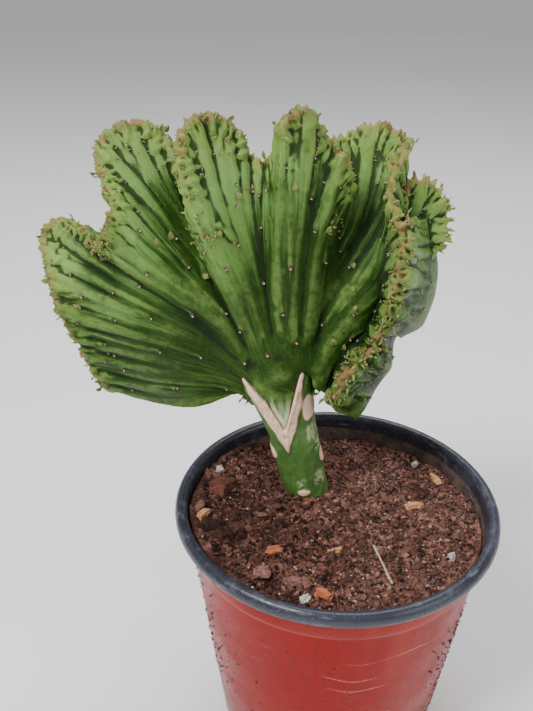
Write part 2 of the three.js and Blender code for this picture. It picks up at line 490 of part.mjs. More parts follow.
// loose pieces lying in the top of the mix: [name, material, x, y, turn (deg),
// tilt (deg), length, width, thickness, sides, taper]
const LOOSE = [
  ['bark_chunk', BARK, -55.4, 12.0, 72, 16, 16, 12, 8, 7, 0.72],
  ['wood_chip_left', WOOD, -63.4, -9.6, 62, 10, 13, 4.6, 2.6, 5, 0.6],
  ['bark_chip_orange', BARK, -30.7, -30.3, 20, 12, 9, 5.2, 3.2, 6, 0.7],
  ['bark_flake_pointed', BARK, -35.6, -45.3, 78, 14, 15, 9, 2.8, 5, 0.5],
  ['bark_flake_front', BARK, -19.3, -48.5, 15, 8, 12, 8.5, 3.2, 6, 0.75],
  ['bark_chip_russet', BARK, -8.2, -57.0, -12, 10, 9, 6, 3.4, 6, 0.7],
  ['twig_curl', WOOD, -1.0, -26.5, 35, 6, 10, 2.6, 2.4, 5, 0.8],
  ['wood_chip_right', WOOD, 39.7, 7.7, 24, 8, 11, 5.5, 2.6, 5, 0.7],
  ['wood_chip_far', WOOD, 55.0, 30.2, -60, 8, 9, 4.6, 2.4, 5, 0.7],
  ['perlite_left', PERLITE, -58.2, 29.3, 0, 0, 4.6, 4.0, 3.6, 7, 0.8],
  ['perlite_far', PERLITE, 46.4, 43.8, 30, 0, 4.2, 3.6, 3.2, 7, 0.8],
  ['perlite_front', PERLITE, -17.2, -60.8, 60, 0, 5.0, 4.0, 3.4, 7, 0.8],
  ['perlite_right', PERLITE, 51.3, -31.4, 15, 0, 4.4, 3.8, 3.2, 7, 0.8],
];
function loosePiece([, , x, y, turn, tilt, len, wid, thick, sides, taper], grow, sink) {
  const ring = (scale, z) => Array.from({ length: sides }, (_, i) => {
    const a = ((i + 0.35 * Math.sin(i * 2.3 + len)) / sides) * Math.PI * 2;
    const w = 1 + 0.12 * Math.sin(i * 3.1 + wid);
    return [(len / 2 * scale * w + grow) * Math.cos(a), (wid / 2 * scale * w + grow) * Math.sin(a), z];
  });
  const g = loft([ring(taper, -thick / 2 - grow), ring(1, -thick * 0.12), ring(0.94, thick * 0.2),
    ring(taper * 0.8, thick / 2 + grow)]);
  g.rotateY(THREE.MathUtils.degToRad(tilt));
  g.rotateZ(THREE.MathUtils.degToRad(turn));
  g.translate(x, y, soilHeight(x, y) + thick * sink);
  return g;
}
// a straw: a thin bent stalk lying across the mix
const STRAW_POINTS = [[16.2, -24.4], [17.6, -31.0], [19.2, -38.0], [20.2, -44.0], [21.3, -50.0]];
function strawPiece(radius) {
  const seg = 6;
  const rings = STRAW_POINTS.map(([x, y], i) => {
    const z = soilHeight(x, y) + 1.0 + 0.5 * Math.sin(i * 1.7);
    return Array.from({ length: seg }, (_, k) => {
      const a = (k / seg) * Math.PI * 2;
      return [x + radius * Math.cos(a), y, z + radius * Math.sin(a)];
    });
  });
  if (radius > 0.7) {
    rings[0].forEach((q) => { q[1] += GAP; });
    rings[rings.length - 1].forEach((q) => { q[1] -= GAP; });
  }
  return loft(rings);
}

let soil = makeSoil().subtract(stemSolid(GAP));
for (const item of LOOSE) {
  soil = soil.subtract(toManifold(loosePiece(item, GAP, 0.18)));
  add(item[0], loosePiece(item, 0, 0.18), item[1]);
}
soil = soil.subtract(toManifold(strawPiece(0.7 + GAP)));
add('straw_stalk', strawPiece(0.7), STRAW);
add('potting_soil', fromManifold(soil), SOIL);

export default root;
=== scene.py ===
# Potted crested euphorbia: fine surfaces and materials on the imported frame.
import bpy
import math
import numpy as np
from mathutils import Vector, Matrix, noise
from mathutils.kdtree import KDTree


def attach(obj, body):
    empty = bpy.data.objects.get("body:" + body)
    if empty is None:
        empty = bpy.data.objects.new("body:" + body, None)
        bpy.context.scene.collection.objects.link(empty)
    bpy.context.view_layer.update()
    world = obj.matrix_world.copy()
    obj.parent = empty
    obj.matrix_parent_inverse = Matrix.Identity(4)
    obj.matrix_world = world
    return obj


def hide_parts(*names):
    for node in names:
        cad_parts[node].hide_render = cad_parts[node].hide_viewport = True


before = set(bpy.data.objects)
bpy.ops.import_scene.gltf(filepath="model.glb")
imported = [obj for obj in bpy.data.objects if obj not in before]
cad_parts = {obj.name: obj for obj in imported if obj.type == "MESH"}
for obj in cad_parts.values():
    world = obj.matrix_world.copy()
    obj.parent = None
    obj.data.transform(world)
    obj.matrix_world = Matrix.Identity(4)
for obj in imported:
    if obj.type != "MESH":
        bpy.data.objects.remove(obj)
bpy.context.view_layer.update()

MM = 0.001

# ------------------------------------------------------------------ dimensions
POT_HEIGHT = 140.0
LIP_RADIUS = 78.0
LIP_DROP = 7.5
WALL_TOP_RADIUS = 72.6
WALL_BASE_RADIUS = 56.0
WALL = 1.3
STEP_Z = 121.0
FLOOR_Z = 3.4
SOIL_Z = 128.6
STEM_Y = 19.7
STEM = np.array([
    [86, -11.5, 6.5, 6.5], [104, -12.5, 9.2, 9.0], [118, -13.2, 10.8, 10.4],
    [130, -13.6, 11.1, 10.8], [141, -16.0, 11.5, 11.0], [150, -18.3, 11.8, 11.2],
    [163, -21.1, 11.9, 11.3], [172, -23.6, 12.8, 11.4], [181, -26.5, 14.2, 11.4],
    [192, -29.2, 15.8, 11.2], [203, -30.4, 16.4, 10.6]], float)      # z, centre x, half width, half depth
CUT = np.array([[-46.0, 199.3], [-33.8, 186.6], [-25.2, 171.0], [-17.4, 207.0]])
HUB_CENTRE = np.array([-28.3, STEM_Y, 201.0])
HUB_RADII = np.array([14.2, 11.0, 12.5])

# where the plant is looked at from, and the direction it is looked along (mm)
EYE = np.array([-34.32, -308.76, 386.03])
EYE_FWD = np.array([0.0, 0.87773, -0.47915])
EYE_UP = np.array([-0.00716, 0.47914, 0.87771])
EYE_RIGHT = np.array([0.99997, 0.00343, 0.00628])

# the fans: columns of four points from the graft to the rim, and the thickness at each (mm)
NETS = {
    'left': dict(t=[15, 9, 6.5, 5.0], cols=[
        [[-34.5,22.7,193.9],[-49.0,23.7,187.1],[-72.7,24.7,177.1],[-113.2,26.7,184.2]],
        [[-36.4,22.7,187.2],[-56.5,20.7,191.6],[-89.6,19.7,194.1],[-117.9,21.7,200.4]],
        [[-36.4,21.7,190.0],[-57.6,18.7,200.4],[-91.6,14.7,210.8],[-122.1,15.7,219.4]],
        [[-36.4,20.7,192.3],[-58.3,17.7,207.9],[-93.0,11.7,223.7],[-127.2,11.7,234.3]],
        [[-36.4,19.7,194.5],[-59.0,16.7,213.7],[-94.9,11.7,233.6],[-128.9,13.7,245.9]],
        [[-36.4,19.7,195.6],[-59.8,16.7,217.8],[-97.2,12.7,240.8],[-132.2,19.7,255.6]],
        [[-35.9,19.7,196.7],[-60.2,16.7,221.4],[-98.8,14.7,246.6],[-134.5,27.7,263.8]],
        [[-35.9,19.7,197.8],[-60.1,16.7,223.9],[-97.8,15.7,250.5],[-126.3,29.7,269.2]],
        [[-35.5,19.7,198.9],[-59.5,15.7,227.0],[-94.0,14.7,252.3],[-116.1,23.7,266.7]],
        [[-35.5,19.7,200.0],[-58.5,14.7,229.5],[-89.4,10.7,254.0],[-106.5,10.7,263.5]],
        [[-35.0,19.7,201.1],[-57.5,14.7,231.9],[-85.3,10.7,257.7],[-101.0,11.7,275.1]],
        [[-35.0,19.7,202.2],[-57.1,15.7,233.9],[-83.8,14.7,262.6],[-99.5,16.7,283.0]],
        [[-34.5,19.7,203.2],[-56.2,16.7,235.5],[-83.2,19.7,268.0],[-105.3,24.7,290.9]],
        [[-34.5,19.7,204.3],[-55.3,17.7,237.0],[-82.5,23.7,273.3],[-107.5,31.7,299.2]],
        [[-34.1,19.7,205.4],[-54.5,19.7,237.5],[-80.5,26.7,276.9],[-103.3,35.7,306.3]],
        [[-34.1,19.7,205.9],[-53.2,20.7,237.6],[-77.6,28.7,278.5],[-94.9,37.7,309.7]],
        [[-33.6,19.7,206.5],[-51.9,21.7,236.7],[-74.3,29.7,276.8],[-85.5,37.7,308.9]],
        [[-33.6,19.7,206.5],[-50.7,23.7,234.3],[-71.3,31.7,271.2],[-77.5,35.7,304.0]],
        [[-33.1,20.7,205.4],[-49.0,25.7,230.8],[-66.8,32.7,261.5],[-70.9,32.7,292.8]],
        [[-32.7,21.7,203.2],[-47.2,26.7,226.8],[-61.3,32.7,250.1],[-65.4,31.7,275.3]],
        [[-31.7,22.7,200.5],[-45.0,27.7,221.2],[-55.6,31.7,238.2],[-60.9,29.7,258.4]],
    ]),
    'centre': dict(t=[15, 9.5, 7.0, 5.0], cols=[
        [[-33.5,19.7,191.2],[-43.8,17.7,216.9],[-52.5,16.7,241.3],[-60.0,17.7,261.6]],
        [[-33.1,18.7,194.0],[-43.3,15.7,221.0],[-53.9,11.7,249.2],[-63.7,9.7,273.4]],
        [[-32.6,17.7,196.3],[-42.7,13.7,225.1],[-55.2,7.7,258.2],[-66.7,3.7,287.3]],
        [[-32.1,17.7,197.9],[-41.8,12.7,228.6],[-56.1,5.7,265.3],[-69.2,1.7,300.0]],
        [[-31.7,17.7,199.5],[-40.9,12.7,231.1],[-56.0,5.7,271.5],[-69.8,4.7,308.7]],
        [[-31.2,17.7,200.6],[-39.6,12.7,233.0],[-54.3,7.7,276.0],[-66.7,11.7,315.2]],
        [[-30.3,17.7,201.7],[-38.3,13.7,234.0],[-50.7,10.7,278.4],[-59.6,17.7,317.5]],
        [[-29.4,17.7,202.8],[-36.5,13.7,234.5],[-47.1,12.7,278.6],[-52.6,21.7,315.1]],
        [[-28.4,17.7,203.3],[-35.1,14.7,234.1],[-43.4,15.7,276.3],[-46.3,24.7,307.6]],
        [[-27.5,17.7,203.9],[-33.8,14.7,234.1],[-39.6,16.7,273.4],[-42.7,24.7,298.5]],
        [[-26.6,17.7,204.4],[-32.5,14.7,234.1],[-36.2,15.7,272.4],[-36.8,21.7,296.9]],
        [[-25.7,17.7,205.0],[-30.7,13.7,235.1],[-32.8,13.7,274.0],[-31.4,16.7,300.7]],
        [[-24.7,17.7,205.5],[-29.0,12.7,236.1],[-30.4,11.7,276.9],[-28.7,13.7,307.9]],
        [[-23.8,17.7,205.5],[-27.2,12.7,237.0],[-28.8,10.7,280.3],[-29.6,11.7,314.3]],
        [[-22.9,17.7,205.5],[-25.4,12.7,237.5],[-26.3,10.7,282.0],[-26.1,13.7,318.9]],
        [[-22.0,17.7,205.5],[-23.7,12.7,237.6],[-23.0,11.7,282.1],[-21.0,15.7,320.5]],
        [[-21.0,17.7,205.5],[-21.9,13.7,236.6],[-19.5,13.7,280.7],[-15.6,18.7,317.2]],
        [[-20.1,17.7,205.0],[-20.0,14.7,235.7],[-16.9,15.7,278.3],[-11.9,21.7,309.0]],
        [[-19.6,17.7,204.5],[-18.2,14.7,234.7],[-14.3,15.7,275.7],[-6.7,21.7,303.3]],
        [[-19.1,17.7,204.0],[-16.8,14.7,233.2],[-12.0,15.7,272.6],[-2.1,19.7,298.9]],
        [[-18.6,18.7,202.9],[-15.4,15.7,230.8],[-10.5,17.7,267.9],[1.2,23.7,290.2]],
        [[-18.0,19.7,201.2],[-14.3,17.7,227.3],[-10.5,20.7,261.8],[-2.5,27.7,278.4]],
    ]),
    'right': dict(t=[15, 10, 7, 4.4], cols=[
        [[-22.2,23.7,201.1],[-11.5,29.7,230.8],[-3.3,39.7,268.5],[-7.1,45.7,300.8]],
        [[-21.3,22.7,201.7],[-9.9,27.7,233.8],[1.1,39.7,270.9],[0.1,47.7,301.7]],
        [[-20.4,21.7,202.2],[-8.2,26.7,235.2],[5.0,38.7,272.2],[6.7,49.7,305.2]],
        [[-19.5,20.7,202.8],[-6.4,25.7,236.2],[8.9,37.7,272.6],[14.4,48.7,307.2]],
        [[-18.6,19.7,203.4],[-4.7,24.7,236.7],[12.9,36.7,271.5],[20.9,44.7,306.4]],
        [[-18.1,19.7,203.4],[-3.0,23.7,236.6],[16.3,34.7,270.8],[24.9,37.7,303.4]],
        [[-17.6,19.7,202.8],[-1.2,22.7,236.1],[19.5,31.7,270.0],[23.3,27.7,300.3]],
        [[-17.1,19.7,202.3],[0.1,21.7,235.6],[20.4,27.7,268.6],[17.9,19.7,297.0]],
        [[-16.7,18.7,202.3],[1.0,20.7,234.5],[19.8,24.7,266.0],[15.9,13.7,290.7]],
        [[-16.2,18.7,201.8],[1.9,19.7,233.5],[18.9,22.7,263.1],[17.2,9.7,283.1]],
        [[-15.7,18.7,201.3],[2.9,19.7,232.0],[19.1,21.7,258.8],[20.2,3.7,276.6]],
        [[-15.3,17.7,201.3],[3.3,18.7,230.5],[19.8,20.7,253.6],[21.3,-1.3,269.9]],
        [[-14.8,17.7,200.8],[3.8,17.7,229.0],[20.2,19.7,247.3],[21.1,-4.3,262.4]],
        [[-14.3,17.7,200.2],[4.4,17.7,226.5],[19.8,19.7,241.1],[20.2,-6.3,255.2]],
        [[-13.8,17.7,199.7],[4.5,17.7,224.0],[19.0,19.7,234.7],[18.8,-6.3,247.6]],
        [[-13.3,17.7,199.2],[4.2,17.7,221.4],[17.5,18.7,228.6],[17.3,-4.3,238.8]],
        [[-12.9,17.7,198.6],[3.9,17.7,218.3],[15.1,17.7,222.5],[16.2,0.7,228.1]],
        [[-12.8,17.7,197.5],[3.2,17.7,215.2],[11.1,15.7,216.8],[10.8,-1.3,221.8]],
        [[-12.8,17.7,196.4],[1.8,16.7,212.6],[6.7,13.7,212.2],[4.8,-6.3,218.5]],
        [[-12.7,17.7,195.3],[0.2,16.7,208.9],[3.8,13.7,206.4],[0.8,-9.3,215.7]],
        [[-12.6,18.7,193.7],[-2.0,16.7,205.2],[1.4,14.7,199.4],[-1.1,-10.3,210.3]],
        [[-13.0,19.7,192.0],[-4.0,17.7,200.9],[-0.9,16.7,192.2],[-3.7,-8.3,203.5]],
        [[-13.4,20.7,189.7],[-6.1,18.7,195.9],[-3.8,18.7,186.0],[-6.9,-2.3,194.6]],
    ]),
    'r2': dict(t=[12, 9, 6, 4.2], cols=[
        [[5.7,27.7,219.0],[13.9,31.7,242.7],[19.4,29.7,262.8],[21.5,23.7,280.8]],
        [[6.6,27.7,219.5],[15.3,32.7,243.8],[22.0,30.7,265.3],[24.4,25.7,285.0]],
        [[7.9,27.7,220.6],[17.2,33.7,244.4],[25.1,31.7,267.3],[28.7,27.7,287.9]],
        [[9.3,27.7,221.1],[19.0,33.7,244.9],[28.3,32.7,267.9],[33.7,29.7,288.3]],
        [[10.7,27.7,221.6],[20.9,33.7,244.9],[31.0,32.7,267.4],[39.8,31.7,282.9]],
        [[12.1,27.7,221.7],[22.8,33.7,243.9],[33.4,32.7,265.1],[44.4,32.7,274.9]],
        [[13.5,27.7,221.1],[24.1,32.7,242.9],[35.0,31.7,261.7],[45.5,31.7,267.4]],
        [[14.4,26.7,220.6],[25.1,31.7,240.8],[35.0,29.7,257.7],[44.6,29.7,260.2]],
        [[14.8,25.7,219.5],[25.5,29.7,238.2],[33.6,26.7,253.7],[40.2,25.7,253.2]],
    ]),
    'r3': dict(t=[24, 19, 10.5, 4.2], cols=[
        [[27.4,41.7,262.8],[26.9,29.7,268.5],[25.4,17.7,274.0],[24.3,7.7,279.1]],
        [[31.1,43.7,255.3],[28.8,29.7,261.5],[25.5,14.7,267.9],[23.0,1.7,274.4]],
        [[33.2,43.7,247.4],[30.3,28.7,254.3],[26.3,12.7,261.4],[21.6,-2.3,269.0]],
        [[34.9,43.7,239.3],[31.2,27.7,247.0],[26.5,10.7,254.9],[21.4,-5.3,262.3]],
        [[34.3,41.7,231.9],[30.9,26.7,239.0],[26.3,9.7,246.9],[20.1,-7.3,255.2]],
        [[32.3,39.7,225.0],[29.2,25.7,231.5],[24.8,9.7,239.3],[18.7,-7.3,247.6]],
        [[29.1,36.7,218.4],[26.4,24.7,224.3],[22.3,9.7,231.5],[17.2,-5.3,238.8]],
        [[24.8,33.7,212.9],[22.9,22.7,218.0],[20.0,10.7,223.6],[16.1,-0.3,228.2]],
    ]),
    'r4': dict(t=[19, 16, 9.5, 4.2], cols=[
        [[24.8,32.7,211.8],[23.0,22.7,216.9],[19.6,10.7,223.1],[16.1,-0.3,227.7]],
        [[21.8,29.7,207.4],[20.3,20.7,212.7],[17.7,10.7,219.0],[14.7,0.7,225.2]],
        [[18.5,29.7,200.9],[16.9,19.7,207.4],[14.2,8.7,214.4],[10.1,-3.3,222.4]],
        [[14.0,28.7,194.8],[12.5,18.7,201.5],[9.3,6.7,209.8],[4.7,-7.3,219.1]],
        [[10.8,27.7,189.7],[9.4,17.7,196.6],[5.7,4.7,205.7],[0.7,-10.3,216.3]],
        [[8.6,26.7,184.6],[7.2,16.7,191.2],[3.7,3.7,200.0],[-1.2,-11.3,210.4]],
        [[6.3,25.7,179.5],[5.2,16.7,185.6],[1.4,4.7,193.5],[-3.7,-9.3,203.1]],
        [[3.0,24.7,175.4],[1.6,16.7,180.5],[-1.8,6.7,187.3],[-6.5,-3.3,194.7]],
    ]),
    'back_left': dict(t=[14, 9, 6.5, 5.0], cols=[
        [[-29.5,25.7,179.7],[-33.4,32.7,174.2],[-38.5,37.7,169.9],[-42.6,39.7,167.4]],
        [[-30.0,27.7,182.0],[-36.5,39.7,178.2],[-43.8,49.7,173.4],[-49.3,56.7,169.2]],
        [[-30.5,27.7,185.4],[-39.6,43.7,186.4],[-49.2,57.7,185.6],[-58.2,69.7,183.8]],
        [[-30.6,27.7,188.8],[-42.6,45.7,195.6],[-54.4,61.7,198.7],[-66.1,74.7,200.4]],
        [[-30.6,27.7,191.6],[-44.6,45.7,204.1],[-58.2,61.7,213.5],[-72.3,73.7,219.3]],
        [[-30.6,27.7,194.4],[-45.5,44.7,211.8],[-60.8,59.7,226.5],[-74.8,65.7,239.0]],
        [[-30.7,27.7,196.6],[-45.4,43.7,217.7],[-61.3,56.7,237.4],[-73.6,59.7,254.7]],
        [[-30.2,27.7,198.3],[-44.4,41.7,222.9],[-59.0,53.7,245.9],[-68.2,57.7,266.4]],
        [[-29.7,26.7,199.9],[-42.4,39.7,227.0],[-54.9,51.7,251.7],[-60.6,59.7,272.6]],
        [[-28.8,25.7,201.0],[-40.0,37.7,229.0],[-50.1,49.7,253.5],[-52.3,63.7,273.4]],
        [[-27.9,24.7,201.6],[-37.6,35.7,228.9],[-45.8,47.7,252.3],[-44.7,63.7,270.5]],
    ]),
    'back_right': dict(t=[14, 9, 6.5, 5.0], cols=[
        [[-25.9,27.7,198.9],[-30.9,37.7,224.9],[-36.8,45.7,249.1],[-39.8,59.7,266.0]],
        [[-24.9,27.7,198.9],[-28.0,41.7,224.1],[-31.1,53.7,248.1],[-32.2,69.7,267.8]],
        [[-23.4,28.7,198.3],[-24.6,44.7,222.8],[-25.2,59.7,245.9],[-23.3,77.7,267.4]],
        [[-22.0,28.7,197.8],[-21.1,46.7,220.8],[-18.6,63.7,243.4],[-13.6,81.7,264.2]],
        [[-20.5,28.7,196.7],[-17.5,47.7,218.2],[-12.5,65.7,238.4],[-4.8,81.7,258.0]],
        [[-19.5,28.7,195.6],[-14.9,48.7,214.5],[-7.2,65.7,232.0],[1.9,77.7,248.9]],
        [[-18.5,28.7,193.9],[-12.8,48.7,210.1],[-3.5,63.7,224.1],[6.2,73.7,237.5]],
        [[-18.0,28.7,191.7],[-11.2,47.7,205.0],[-1.2,61.7,215.1],[8.3,71.7,224.1]],
        [[-17.4,28.7,189.4],[-10.1,45.7,199.3],[-0.3,59.7,204.7],[8.0,69.7,209.2]],
        [[-16.9,27.7,187.2],[-10.0,43.7,193.5],[-1.7,55.7,195.2],[5.2,64.7,195.3]],
        [[-16.9,26.7,185.0],[-10.5,39.7,188.9],[-3.8,49.7,186.8],[0.8,55.7,184.7]],
        [[-17.3,25.7,182.1],[-12.1,33.7,183.1],[-7.2,39.7,180.8],[-3.8,43.7,177.3]],
    ]),
}
# the areoles that are known one by one: (column, share of the way to the rim)
AREOLES = {
    'centre': [(8.14, 0.58), (10.37, 0.66), (11.29, 0.82), (9.84, 0.82), (8.4, 0.78), (7.74, 0.72), (5.38, 0.59), (3.41, 0.58), (8.53, 0.45), (1.71, 0.36), (4.59, 0.15), (1.05, 0.0), (15.49, 0.59), (14.83, 0.72), (16.54, 0.72), (14.31, 0.48), (20.08, 0.56), (21.0, 0.55), (18.51, 0.64), (21.0, 0.74), (21.0, 0.69), (12.6, 0.32), (15.23, 0.17)],
    'left': [(12.62, 0.43), (8.12, 0.41), (8.38, 0.52), (11.62, 0.51), (12.62, 0.58), (11.12, 0.65), (10.88, 0.78), (9.5, 0.64), (7.25, 0.6), (5.0, 0.71), (4.25, 0.59), (3.25, 0.75), (2.5, 0.77), (2.5, 0.58), (2.88, 0.41), (1.75, 0.81), (1.38, 0.78), (0.5, 0.84), (0.25, 0.91), (0.88, 0.57), (1.12, 0.3), (10.75, 0.31), (6.5, 0.14), (3.88, 0.87), (4.12, 0.77), (3.38, 0.89)],
    'right': [(0.83, 0.38), (1.79, 0.55), (2.61, 0.5), (5.23, 0.45), (8.11, 0.38), (11.96, 0.36), (7.43, 0.22), (15.4, 0.33), (8.11, 0.02)],
}
# yellower growth where the amount is positive, darker where it is negative; the small dark spots at the folds between
# lobes are painted shade: centre x, z, radius (mm), amount
YOUTH_AND_FOLD_SHADE_SPOTS = [(-125, 258, 16, 0.34), (-89, 292, 15, 0.62), (-88, 300, 20, 0.10), (-54, 292, 18, 0.80), (-50, 262, 14, 0.55),
               (-20, 306, 14, 0.35), (10, 300, 20, 0.35), (36, 276, 16, 0.50), (30, 245, 14, 0.30),
               (-86, 262, 16, 0.15), (-104, 236, 20, 0.25), (-40, 228, 16, 0.20), (-70, 220, 12, -0.25),
               (-20, 240, 26, -0.20), (-96, 205, 26, -0.30), (24, 215, 22, -0.30), (44, 232, 20, -0.35),
               (-78, 286, 8, -0.50), (-75, 271, 8, -0.50), (-70, 258, 9, -0.40), (-106, 250, 9, -0.45), (-33, 291, 6, -0.30),
               (-51, 291, 10, 0.35), (6, 297, 12, 0.25), (31, 260, 14, 0.35), (-62, 236, 12, -0.25), (-118, 214, 14, -0.20)]
# crowded tufts of leaflets: x, z, spread, count, size
TUFTS = [(-107.5, 259.5, 3.0, 46, 1.9), (-60.0, 265.0, 3.2, 34, 2.0), (-64.5, 274.0, 1.8, 7, 1.6),
         (-67.5, 284.0, 1.6, 8, 1.6), (-70.0, 294.0, 1.6, 8, 1.6), (-71.5, 302.0, 1.6, 7, 1.7),
         (-5.0, 269.0, 2.4, 10, 1.9), (20.0, 209.0, 2.2, 14, 1.7), (15.1, 205.8, 1.6, 3, 2.2),
         (12.1, 201.5, 1.6, 3, 1.8), (8.6, 197.1, 1.5, 4, 1.7), (5.6, 192.1, 1.5, 3, 1.7),
         (2.9, 187.6, 1.5, 3, 1.7), (0.2, 184.3, 1.5, 2, 1.7), (-2.6, 182.5, 1.6, 5, 1.5),
         (16.5, 221.0, 2.6, 16, 1.9), (20.0, 202.6, 1.2, 3, 1.8), (11.9, 182.7, 1.2, 2, 1.8)]
# single leaflets: x, z, length, and which way they point
LEAVES = [(-43.1, 285.7, 3.6, -0.1, 0.6), (-45.6, 281.8, 3.8, -0.3, 0.6), (-76.1, 263.5, 4.2, 0.0, 0.8),
          (-82.9, 260.7, 3.4, 0.1, 0.8), (-63.0, 246.0, 3.4, 0.5, 0.4), (-117.1, 236.6, 3.6, -0.6, 0.3),
          (-107.7, 235.6, 3.0, -0.5, 0.4), (-118.7, 231.7, 3.4, -0.6, 0.2), (-23.1, 285.7, 3.6, 0.0, 0.8),
          (-9.0, 267.2, 4.0, 0.3, 0.6), (3.4, 251.0, 3.0, 0.2, 0.7), (3.8, 239.7, 3.2, 0.1, 0.8),
          (5.1, 230.1, 3.4, 0.2, 0.7), (-2.6, 212.5, 4.4, -0.2, 0.6), (1.3, 209.9, 3.6, 0.1, 0.7), (3.4, 206.2, 3.4, 0.3, 0.5)]
# corky scars on the rootstock: x, z, half width, half height, depth
SCARS = [(-14.3, 182.5, 2.9, 7.2, 0.7), (-5.8, 155.0, 1.9, 6.0, 0.5), (-31.5, 155.0, 2.6, 4.4, 0.7), (-15.2, 134.8, 3.2, 1.9, 0.8)]
# pale waxy patches low on the rootstock
PALE_STEM = [(-16.2, 140.2, 2.6, 2.8), (-7.4, 142.0, 2.6, 4.8), (-12.6, 168.5, 2.4, 4.6), (-9.2, 162.0, 2.6, 4.6)]

# --------------------------------------------------------------------- helpers
def catmull(P, t):
    P = np.asarray(P, float)
    t = np.asarray(t, float)
    n = len(P) - 1
    i = np.clip(np.floor(t).astype(int), 0, n - 1)
    u = (t - i).reshape((-1,) + (1,) * (P.ndim - 1))
    E = np.concatenate([[2 * P[0] - P[1]], P, [2 * P[-1] - P[-2]]])
    a, b, c, d = E[i], E[i + 1], E[i + 2], E[i + 3]
    return 0.5 * (2 * b + (c - a) * u + (2 * a - 5 * b + 4 * c - d) * u * u
                  + (3 * b - a - 3 * c + d) * u ** 3)


def smooth(lo, hi, x):
    t = np.clip((x - lo) / (hi - lo), 0, 1)
    return t * t * (3 - 2 * t)


def unit(v):
    return v / np.maximum(np.linalg.norm(v, axis=-1, keepdims=True), 1e-9)


def fbm(pts, scale, octaves=3, seed=0.0):
    out = np.zeros(len(pts))
    for o in range(octaves):
        k = scale * 2 ** o
        out += np.array([noise.noise(Vector((p[0] * k + seed, p[1] * k - seed, p[2] * k + 7 * o))) for p in pts]) / 2 ** o
    return out


def make_mesh(name, verts_mm, faces, smooth_shade=True):
    """verts in mm; faces an (n,3) or (n,4) array, or a list of such arrays"""
    me = bpy.data.meshes.new(name)
    v = np.asarray(verts_mm, np.float32) * MM
    groups = faces if isinstance(faces, list) else [faces]
    groups = [np.asarray(g, np.int32) for g in groups if len(g)]
    loops = np.concatenate([g.ravel() for g in groups])
    totals = np.concatenate([np.full(len(g), g.shape[1], np.int32) for g in groups])
    starts = np.concatenate([[0], np.cumsum(totals)[:-1]]).astype(np.int32)
    me.vertices.add(len(v))
    me.vertices.foreach_set("co", v.ravel())
    me.loops.add(len(loops))
    me.loops.foreach_set("vertex_index", loops)
    me.polygons.add(len(totals))
    me.polygons.foreach_set("loop_start", starts)
    me.polygons.foreach_set("loop_total", totals)
    me.polygons.foreach_set("use_smooth", np.full(len(totals), smooth_shade))
    me.update(calc_edges=True)
    me.validate()
    return me


def add_object(name, me, mats):
    ob = bpy.data.objects.new(name, me)
    bpy.context.scene.collection.objects.link(ob)
    for m in (mats if isinstance(mats, (list, tuple)) else [mats]):
        me.materials.append(m)
    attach(ob, "root")
    return ob


def set_attr(me, name, values):
    a = me.attributes.get(name) or me.attributes.new(name, 'FLOAT', 'POINT')
    a.data.foreach_set("value", np.asarray(values, np.float32))


def mesh_arrays(me):
    v = np.empty(len(me.vertices) * 3, np.float32)
    me.vertices.foreach_get("co", v)
    n = np.empty(len(me.vertices) * 3, np.float32)
    me.vertices.foreach_get("normal", n)
    return v.reshape(-1, 3).astype(float) / MM, n.reshape(-1, 3).astype(float)


def relax(me, rounds, factor):
    v = np.empty(len(me.vertices) * 3, np.float32)
    me.vertices.foreach_get("co", v)
    v = v.reshape(-1, 3).astype(float)
    e = np.empty(len(me.edges) * 2, np.int32)
    me.edges.foreach_get("vertices", e)
    e = e.reshape(-1, 2)
    cnt = np.bincount(e.ravel(), minlength=len(v)).astype(float)[:, None]
    for _ in range(rounds):
        s = np.zeros_like(v)
        for c in range(3):
            s[:, c] = (np.bincount(e[:, 0], weights=v[e[:, 1], c], minlength=len(v))
                       + np.bincount(e[:, 1], weights=v[e[:, 0], c], minlength=len(v)))
        v += factor * (s / np.maximum(cnt, 1) - v)
    me.vertices.foreach_set("co", v.astype(np.float32).ravel())
    me.update()


def relax_near(me, weight, rounds):
    """smooth only where weight (per vertex) is above nothing"""
    v = np.empty(len(me.vertices) * 3, np.float32)
    me.vertices.foreach_get("co", v)
    v = v.reshape(-1, 3).astype(float)
    e = np.empty(len(me.edges) * 2, np.int32)
    me.edges.foreach_get("vertices", e)
    e = e.reshape(-1, 2)
    e = e[(weight[e] > 0).any(1)]
    ids, inv = np.unique(e, return_inverse=True)
    inv = inv.reshape(-1, 2)
    p, w = v[ids], weight[ids][:, None] * 0.6
    cnt = np.bincount(inv.ravel(), minlength=len(ids)).astype(float)[:, None]
    for _ in range(rounds):
        s = np.stack([np.bincount(inv[:, 0], weights=p[inv[:, 1], c], minlength=len(ids))
                      + np.bincount(inv[:, 1], weights=p[inv[:, 0], c], minlength=len(ids)) for c in range(3)], -1)
        p = p + w * (s / cnt - p)
    v[ids] = p
    me.vertices.foreach_set("co", v.astype(np.float32).ravel())
    me.update()


def scatter(base_v, base_f, mats4):
    """copies of one small body: base_v (n,3), base_f (m,k), mats4 (c,3,4)"""
    n, c = len(base_v), len(mats4)
    hv = np.concatenate([base_v, np.ones((n, 1))], 1)
    v = np.einsum('cij,nj->cni', mats4, hv).reshape(-1, 3)
    f = (base_f[None] + (np.arange(c) * n)[:, None, None]).reshape(-1, base_f.shape[1])
    return v, f


